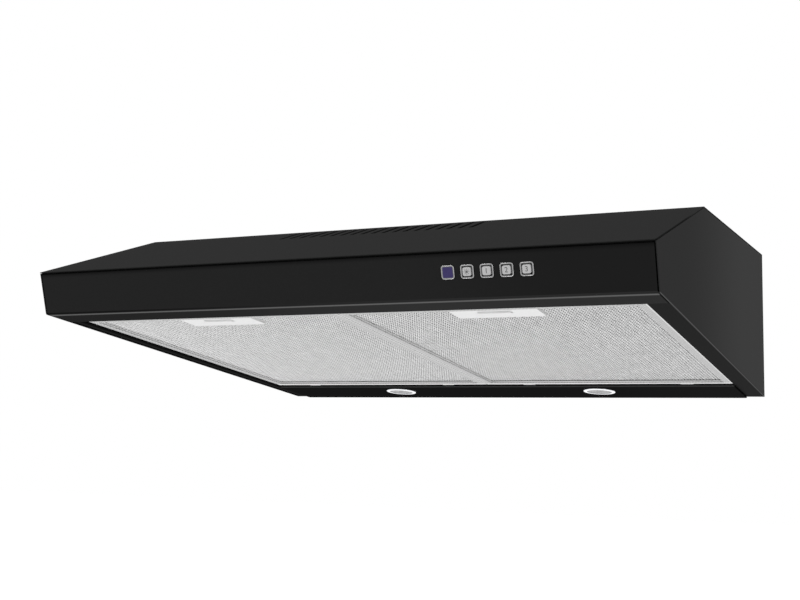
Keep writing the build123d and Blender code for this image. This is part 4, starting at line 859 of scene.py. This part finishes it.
@dataclass
class GreaseFilter:
    """Fine pieces of one grease filter: its outer foil and its latch spring.

    All sizes are in millimetres, on the underside's work plane.
    """

    side: int
    centre: float = 140.475
    width: float = 263.4
    front: float = 44.6
    rear: float = 403.8
    level: float = 3.95
    strand: float = 0.5
    strand_sides: int = 3
    long_way: float = 5.0
    short_way: float = 3.3
    lean: float = 0.4
    notch_shift: float = 4.0
    notch_half: float = 40.6
    notch_rear: float = 75.6
    spring_radius: float = 1.5
    spring_wire: float = 0.3
    spring_start: float = 53.0
    spring_end: float = 68.0
    spring_level: float = 6.4
    spring_turns: int = 9
    turn_points: int = 14
    wire_sides: int = 6

    @property
    def label(self) -> str:
        """Side of the hood as a word."""
        return "right" if self.side > 0 else "left"

    def foil(self) -> None:
        """Builds the outer layer of expanded foil as zigzag strands that run to the rear."""
        tree = Tree(
            f"expanded_foil_{self.label}",
            {
                "Chain Pitch": self.short_way, "Half Way": self.long_way / 2,
                "Strand": self.strand, "Notch Shift": self.notch_shift,
                "Notch Half": self.notch_half, "Notch Depth": self.notch_rear - self.front,
            },
            Chains=int(self.width / self.short_way) + 1,
            Steps=int((self.rear - self.front) / self.long_way * 2) + 1,
        )
        index = tree.out("GeometryNodeInputIndex")

        def row(label: str, count: str, start: float, pitch: Socket) -> tuple[Socket, Socket]:
            """Makes a row of points that keep their number.

            Args:
                label: Attribute that keeps the number.
                count: Input of the tree with the number of points.
                start: Place of the first point along X, in metres.
                pitch: Way from one point to the next.

            Returns:
                The points, and the number read from the attribute.
            """
            place = {"Count": tree[count], "Start Location": (start, 0.0, 0.0), "Offset": pitch}
            line = tree.out("GeometryNodeMeshLine", place)
            points = tree.out(
                "GeometryNodeStoreNamedAttribute",
                {"Geometry": line, "Name": label, "Value": index},
                data_type="FLOAT", domain="POINT",
            )
            return points, tree.out(
                "GeometryNodeInputNamedAttribute", {"Name": label}, data_type="FLOAT"
            )

        steps, step = row("step", "Steps", 0.0, tree.vector(Y=tree["Half Way"]))
        chains, chain = row(
            "chain", "Chains", -self.width / 2 * MM, tree.vector(X=tree["Chain Pitch"])
        )
        grid = tree.out("GeometryNodeInstanceOnPoints", {"Points": chains, "Instance": steps})
        lines = tree.out("GeometryNodeRealizeInstances", {"Geometry": grid})
        parity = tree.math("MODULO", tree.math("ADD", step, chain), 2.0)
        reach = tree.math("MULTIPLY", tree["Chain Pitch"], 0.5)
        swing = tree.math("MULTIPLY", tree.math("SUBTRACT", parity, 0.5), reach)
        shift = tree.vector(X=swing, Z=tree.math("MULTIPLY", swing, self.lean))
        zigzag = tree.out("GeometryNodeSetPosition", {"Geometry": lines, "Offset": shift})
        where = tree.node(
            "ShaderNodeSeparateXYZ", {0: tree.out("GeometryNodeInputPosition")}
        ).outputs
        aside = tree.math("ABSOLUTE", tree.math("SUBTRACT", where["X"], tree["Notch Shift"]))
        in_notch = tree.math(
            "MULTIPLY",
            tree.math("LESS_THAN", aside, tree["Notch Half"]),
            tree.math("LESS_THAN", where["Y"], tree["Notch Depth"]),
        )
        cut = tree.out(
            "GeometryNodeDeleteGeometry", {"Geometry": zigzag, "Selection": in_notch},
            domain="POINT",
        )
        curves = tree.out("GeometryNodeMeshToCurve", {"Mesh": cut})
        profile = tree.circle(tree["Strand"], self.strand_sides)
        mesh = tree.bake(tree.swept(curves, profile), STRAND)
        mesh.transform(UNDERSIDE.matrix(self.side * self.centre, self.front, self.level))
        Piece(f"outer_foil_{self.label}", STRAND, Body(f"filter_{self.label}")).place(mesh)

    def spring(self) -> None:
        """Builds the latch's coil spring in place of its plain tube."""
        name = f"latch_coil_{self.label}"
        lengths = {
            "Radius": self.spring_radius, "Wire": self.spring_wire,
            "Length": self.spring_end - self.spring_start,
        }
        tree = Tree(name, lengths, Turns=self.spring_turns)
        coil = tree.out(
            "GeometryNodeCurveSpiral",
            {
                "Resolution": self.turn_points, "Rotations": tree["Turns"],
                "Start Radius": tree["Radius"], "End Radius": tree["Radius"],
                "Height": tree["Length"],
            },
        )
        wire = tree.circle(tree["Wire"], self.wire_sides)
        mesh = tree.bake(tree.swept(coil, wire), SPRING)
        place = UNDERSIDE.matrix(
            self.side * self.centre + self.notch_shift, self.spring_start, self.spring_level
        )
        mesh.transform(place @ Matrix.Rotation(-math.pi / 2, 4, "X"))
        piece = Piece(name, SPRING, Body(f"latch_{self.label}"))
        piece.place(mesh, [f"latch_spring_{self.label}"])

    def build(self) -> None:
        """Builds every fine piece of this filter."""
        self.foil()
        self.spring()


@dataclass
class Controls:
    """The row of square controls: the marks on the buttons, in millimetres."""

    first: float = 126.8
    pitch: float = 17.1
    drop: float = 18.3
    face_length: float = 41.39
    count: int = 5
    cap_level: float = 1.82
    mark_height: float = 4.6
    size_over_height: float = 1.35
    mark_depth: float = 0.06
    lamp_radius: float = 1.05
    lamp_sides: int = 24
    rays: int = 8
    ray_start: float = 1.5
    ray_end: float = 2.5
    ray_half: float = 0.2
    numbers: tuple[str, ...] = ("1", "2", "3")

    def place(self, index: int, level: float) -> Matrix:
        """Placement over a control, counted from the indicator, at a height on the face."""
        return FACE.matrix(self.first + self.pitch * index, self.face_length - self.drop, level)

    def number(self, index: int, text: str) -> None:
        """Builds one speed number as a thin raised figure.

        Args:
            index: Place of its button, counted from the indicator.
            text: The number.
        """
        name = f"speed_mark_{text}"
        curve = bpy.data.curves.new(name, "FONT")
        curve.body = text
        curve.size = self.mark_height * self.size_over_height * MM
        curve.align_x = curve.align_y = "CENTER"
        curve.extrude = self.mark_depth * MM
        mesh = plain_mesh(shown(name, curve))
        mesh.transform(self.place(index, self.cap_level))
        Piece(name, KEY_MARK, Body(f"button_speed_{text}")).place(mesh)

    def lamp_sign(self) -> None:
        """Builds the lamp sign of the light button: a disc with short rays."""
        shape = bmesh.new()
        place = self.place(1, self.cap_level)
        radius, depth = self.lamp_radius * MM, self.mark_depth * 2 * MM
        bmesh.ops.create_cone(
            shape, cap_ends=True, segments=self.lamp_sides, radius1=radius, radius2=radius,
            depth=depth, matrix=place,
        )
        low = Vector((self.ray_start, -self.ray_half, 0.0)) * MM
        high = Vector((self.ray_end, self.ray_half, 0.0)) * MM
        low.z, high.z = -depth / 2, depth / 2
        shift, scale = Matrix.Translation((high + low) / 2), Matrix.Diagonal((*(high - low), 1.0))
        for step in range(self.rays):
            turn = Matrix.Rotation(step * math.tau / self.rays, 4, "Z")
            bmesh.ops.create_cube(shape, size=1.0, matrix=place @ turn @ shift @ scale)
        Piece("light_mark", KEY_MARK, Body.BUTTON_LIGHT).from_bmesh(shape)

    def build(self) -> None:
        """Builds every mark."""
        self.lamp_sign()
        for index, text in enumerate(self.numbers, 2):
            self.number(index, text)


@dataclass
class Screws:
    """Pan-head screws of one size, each with the shade of a cross recess painted on its head.

    Lengths are in millimetres, and the last five are shares of the head's height or radius.
    """

    name: str
    spots: Sequence[Spot]
    replaces: Sequence[str] = ()
    head: float = 3.5
    height: float = 2.0
    shank: float = 1.75
    length: float = 6.0
    recess_depth: float = 0.1
    sides: int = 28
    rim_share: float = 0.55
    dome_share: float = 0.45
    crown: float = 0.68
    recess_reach: float = 0.86
    recess_width: float = 0.2

    def heads(self) -> None:
        """Builds the heads and shanks."""
        tree = Tree(
            self.name,
            {
                "Head": self.head, "Height": self.height,
                "Shank": self.shank, "Length": self.length,
            },
        )

        def rod(radius: str, depth: Socket) -> Socket:
            """Makes a cylinder around the origin."""
            values = {"Vertices": self.sides, "Radius": tree[radius], "Depth": depth}
            return tree.out("GeometryNodeMeshCylinder", values)

        low = tree.math("MULTIPLY", tree["Height"], self.rim_share)
        dome = tree.out(
            "GeometryNodeMeshCone",
            {
                "Vertices": self.sides,
                "Radius Top": tree.math("MULTIPLY", tree["Head"], self.crown),
                "Radius Bottom": tree["Head"],
                "Depth": tree.math("MULTIPLY", tree["Height"], self.dome_share),
            },
        )
        parts = [
            tree.moved(rod("Head", low), tree.math("MULTIPLY", low, 0.5)),
            tree.moved(dome, low),
            tree.moved(
                rod("Shank", tree["Length"]), tree.math("MULTIPLY", tree["Length"], -0.5)
            ),
        ]
        Piece(self.name, ZINC).repeated(tree, parts, self.spots, self.replaces)

    def recesses(self) -> None:
        """Builds a flat dark cross on each head, painted shade in place of its hollow cross
        recess.
        """
        label = f"{self.name}_recess"
        tree = Tree(
            label,
            {
                "Reach": self.head * self.recess_reach, "Slot": self.head * self.recess_width,
                "Thick": self.recess_depth, "Lift": self.height,
            },
        )
        bars = [tree.block("Reach", "Slot", "Thick"), tree.block("Slot", "Reach", "Thick")]
        cross = [tree.moved(bar, tree["Lift"]) for bar in bars]
        Piece(label, RECESS_SHADE).repeated(tree, cross, self.spots)

    def build(self) -> None:
        """Builds the screws of this size."""
        self.heads()
        self.recesses()


def spot(x: float, y: float, z: float, way: Triple) -> Spot:
    """Place in millimetres and the way it faces."""
    return Vector((x, y, z)) * MM, Vector(way)


def turned(degrees: float) -> Triple:
    """Level direction at an angle from X."""
    return math.cos(math.radians(degrees)), math.sin(math.radians(degrees)), 0.0


@dataclass
class Fittings:
    """Screws, clips, rims and bands all over the hood, in millimetres.

    Each shell clip is the centre of its arc in X and Y from the fan's axis, the arc's radius,
    and the clip's angle on it in degrees.
    """

    collar_y: float = 70.0
    collar_holes: tuple[float, float] = (59.0, 57.0)
    collar_level: float = 2.0
    bead_levels: tuple[float, ...] = (24.0, 28.6)
    bead_radius: float = 59.6
    bead_width: float = 1.4
    bar_end: float = 280.0
    end_along: float = 429.25
    lip_middle: float = 4.0
    fan: tuple[float, float] = (-154.348, -20.0)
    lug_level: float = -8.0
    lugs: tuple[tuple[float, float], ...] = (
        (-236.03, 73.68), (-239.54, -93.20), (-110.35, -112.60), (-84.0, 110.0),
    )
    motor_circle: float = 28.7
    motor_level: float = -4.0
    motor_turns: tuple[float, ...] = (90, 210, 330)
    terminal: Triple = (155.0, 118.0, -35.8)
    terminal_half: float = 28.0
    driver: Triple = (222.0, 5.0, -22.8)
    driver_half: float = 38.0
    split_level: float = -44.0
    clip_size: Triple = (7.0, 12.0, 5.0)
    clip_stand: float = 5.5
    shell_clips: tuple[tuple[float, float, float, float], ...] = (
        (6, -6, 78, -30), (-6, -6, 90, 265), (-6, 6, 102, 195), (6, 6, 114, 110), (6, 6, 114, 160),
    )
    rim_side: float = 10.9
    rim_round: float = 2.0
    rim_points: int = 4
    rim_wire: float = 0.26
    rim_sides: int = 6
    rim_level: float = 0.62
    capacitor_band: Triple = (153.0, -10.0, -18.8)
    capacitor_radius: float = 15.3
    capacitor_width: float = 8.0
    band_sheet: float = 0.6
    band_points: int = 72

    def screws(self) -> None:
        """Builds all the screws."""
        sides = (-1, 1)
        across, along = self.collar_holes
        case = [
            spot(sx * across, self.collar_y + sy * along, self.collar_level, UP)
            for sx in sides
            for sy in sides
        ]
        for side in sides:
            end = UNDERSIDE.at(side * self.bar_end, self.end_along, self.lip_middle)
            case.append((end, Vector((-side, 0, 0))))
        Screws("case_screw_heads", case, ("case_screws",)).build()
        blower = [spot(x, y, self.lug_level, DOWN) for x, y in self.lugs]
        for way in map(turned, self.motor_turns):
            x = self.fan[0] + self.motor_circle * way[0]
            y = self.fan[1] + self.motor_circle * way[1]
            blower.append(spot(x, y, self.motor_level, UP))
        Screws("blower_screw_heads", blower, ("blower_screws",), length=5.0).build()
        tx, ty, tz = self.terminal
        dx, dy, dz = self.driver
        small = [spot(tx + side * self.terminal_half, ty, tz, DOWN) for side in sides]
        small += [spot(dx, dy + side * self.driver_half, dz, DOWN) for side in sides]
        Screws("cover_screw_heads", small, head=2.6, height=1.5, length=3.0).build()

    def clips(self) -> None:
        """Builds the clips that hold the blower's two shells together."""
        tree = Tree("shell_clips", dict(zip(("Tall", "Wide", "Deep"), self.clip_size)))
        spots = []
        for cx, cy, radius, degrees in self.shell_clips:
            way = turned(degrees)
            reach = radius + self.clip_stand
            x, y = self.fan[0] + cx + reach * way[0], self.fan[1] + cy + reach * way[1]
            spots.append(spot(x, y, self.split_level, way))
        block = tree.block("Tall", "Wide", "Deep")
        Piece("shell_clips", MOULDED_GREY).repeated(tree, [block], spots)

    def bezel_rims(self, controls: Controls) -> None:
        """Builds the bright rim around each square frame of the controls.

        Args:
            controls: The row of controls that the rims surround.
        """
        lengths = {"Side": self.rim_side, "Round": self.rim_round, "Wire": self.rim_wire}
        tree = Tree("bezel_rims", lengths)
        soft = tree.out(
            "GeometryNodeFilletCurve",
            {
                "Curve": tree.oblong(tree["Side"], tree["Side"]),
                "Radius": tree["Round"], "Count": self.rim_points,
            },
            mode="POLY",
        )
        ring = tree.swept(soft, tree.circle(tree["Wire"], self.rim_sides))
        places = [controls.place(step, self.rim_level) for step in range(controls.count)]
        spots = [(place.to_translation(), FACE.normal) for place in places]
        Piece("bezel_rims", RIM_SILVER).repeated(tree, [ring], spots)

    def band(self, name: str, place: Spot, radius: float, wide: float, finish: Finish) -> None:
        """Builds a thin round band.

        Args:
            name: Name of the piece.
            place: Centre of the band and its axis.
            radius: Radius of its middle surface in millimetres.
            wide: Width along the axis in millimetres.
            finish: Finish of the band.
        """
        tree = Tree(name, {"Radius": radius, "Wide": wide, "Sheet": self.band_sheet})
        loop = tree.circle(tree["Radius"], self.band_points)
        strip = tree.oblong(tree["Sheet"], tree["Wide"])
        Piece(name, finish).repeated(tree, [tree.swept(loop, strip)], [place])

    def build(self, controls: Controls) -> None:
        """Builds every fitting.

        Args:
            controls: The row of controls, for the rims.
        """
        self.screws()
        self.clips()
        self.bezel_rims(controls)
        self.band(
            "capacitor_band", spot(*self.capacitor_band, RIGHT), self.capacitor_radius,
            self.capacitor_width, ZINC,
        )
        for step, level in enumerate(self.bead_levels, 1):
            self.band(
                f"collar_bead_{step}", spot(0.0, self.collar_y, level, UP),
                self.bead_radius, self.bead_width, MOULDED_BLACK,
            )


@dataclass
class Studio:
    """Floor, soft lights, pale surroundings and the camera."""

    floor_level: float = -2.4
    floor_size: float = 60.0
    floor_tone: float = 0.85
    floor_roughness: float = 0.9
    floor_lift: float = 0.52
    world_light: float = 0.75
    camera_place: Triple = (0.51714, -1.24529, -0.20197)
    camera_right: Triple = (0.90335749, 0.42866361, 0.0138839)
    camera_down: Triple = (-0.0328641, 0.10146125, -0.99429652)
    camera_forward: Triple = (-0.42762741, 0.89774892, 0.10574342)
    focal_pixels: float = 1217.87
    image_width: float = 800.0
    sensor: float = 36.0
    farthest: float = 200.0

    @staticmethod
    def seen_directly(graph: Graph) -> Socket:
        """Adds nodes that are one for camera, glossy and transmission rays."""
        path = graph.node("ShaderNodeLightPath").outputs
        first = graph.math("MAXIMUM", path["Is Camera Ray"], path["Is Glossy Ray"])
        return graph.math("MAXIMUM", first, path["Is Transmission Ray"])

    def world(self) -> None:
        """Builds the surroundings: soft light, and white where they are seen."""
        sky = bpy.data.worlds.new("studio_world")
        sky.use_nodes = True
        graph = Graph(sky.node_tree)
        ends = {"To Min": self.world_light, "To Max": 1.0}
        strength = graph.spread(self.seen_directly(graph), ends)
        graph.fill(sky.node_tree.nodes["Background"], {"Color": WHITE, "Strength": strength})
        bpy.context.scene.world = sky

    def floor(self) -> None:
        """Builds the pale floor, which keeps the hood's shadow."""
        mesh = bpy.data.meshes.new("floor")
        half = self.floor_size / 2
        corners = [(-half, -half), (half, -half), (half, half), (-half, half)]
        mesh.from_pydata([(x, y, self.floor_level) for x, y in corners], [], [(0, 1, 2, 3)])
        ground = shown("floor", mesh)
        pale = bpy.data.materials.new("pale_floor")
        pale.use_nodes = True
        graph = Graph(pale.node_tree)
        lift = graph.math("MULTIPLY", self.seen_directly(graph), self.floor_lift)
        graph.fill(
            pale.node_tree.nodes["Principled BSDF"],
            {
                "Base Color": (*grey(self.floor_tone), 1.0),
                "Roughness": self.floor_roughness,
                "Specular IOR Level": 0.0,
                "Emission Color": WHITE,
                "Emission Strength": lift,
            },
        )
        ground.data.materials.append(pale)

    def lamp(self, name: str, place: Triple, aim: Triple, size: float, power: float) -> None:
        """Adds one soft square lamp.

        Args:
            name: Name of the lamp.
            place: Where it hangs, in metres.
            aim: The point it faces.
            size: Side of the square in metres.
            power: Power in watts.
        """
        light = bpy.data.lights.new(name, "AREA")
        light.size = size
        light.energy = power
        lit = shown(name, light)
        lit.location = place
        toward = Vector(aim) - Vector(place)
        lit.rotation_euler = toward.to_track_quat("-Z", "Y").to_euler()

    def camera(self) -> None:
        """Adds the camera at the photograph's place and angle."""
        lens = bpy.data.cameras.new("photo_camera")
        lens.sensor_width = self.sensor
        lens.lens = self.focal_pixels / self.image_width * self.sensor
        lens.clip_end = self.farthest
        eye = shown("photo_camera", lens)
        right, down = Vector(self.camera_right), Vector(self.camera_down)
        turn = Matrix((right, -down, -Vector(self.camera_forward))).transposed()
        eye.matrix_world = Matrix.Translation(self.camera_place) @ turn.to_4x4()
        bpy.context.scene.camera = eye

    def build(self) -> None:
        """Builds the whole studio."""
        self.world()
        self.floor()
        self.lamp("key", (-1.6, -2.6, 1.6), (0.0, -0.1, -0.1), size=1.6, power=60.0)
        self.lamp("fill", (2.6, -1.2, 0.6), (0.2, 0.0, -0.1), size=1.4, power=25.0)
        self.camera()
        bpy.context.scene.view_settings.view_transform = "Standard"


def main() -> None:
    """Builds the hood's looks in order."""
    logging.basicConfig(level=logging.INFO, format="%(name)s: %(message)s")
    dress_nodes()
    for side in (-1, 1):
        GreaseFilter(side).build()
    controls = Controls()
    controls.build()
    Fittings().build(controls)
    Studio().build()


if __name__ == "__main__":
    main()
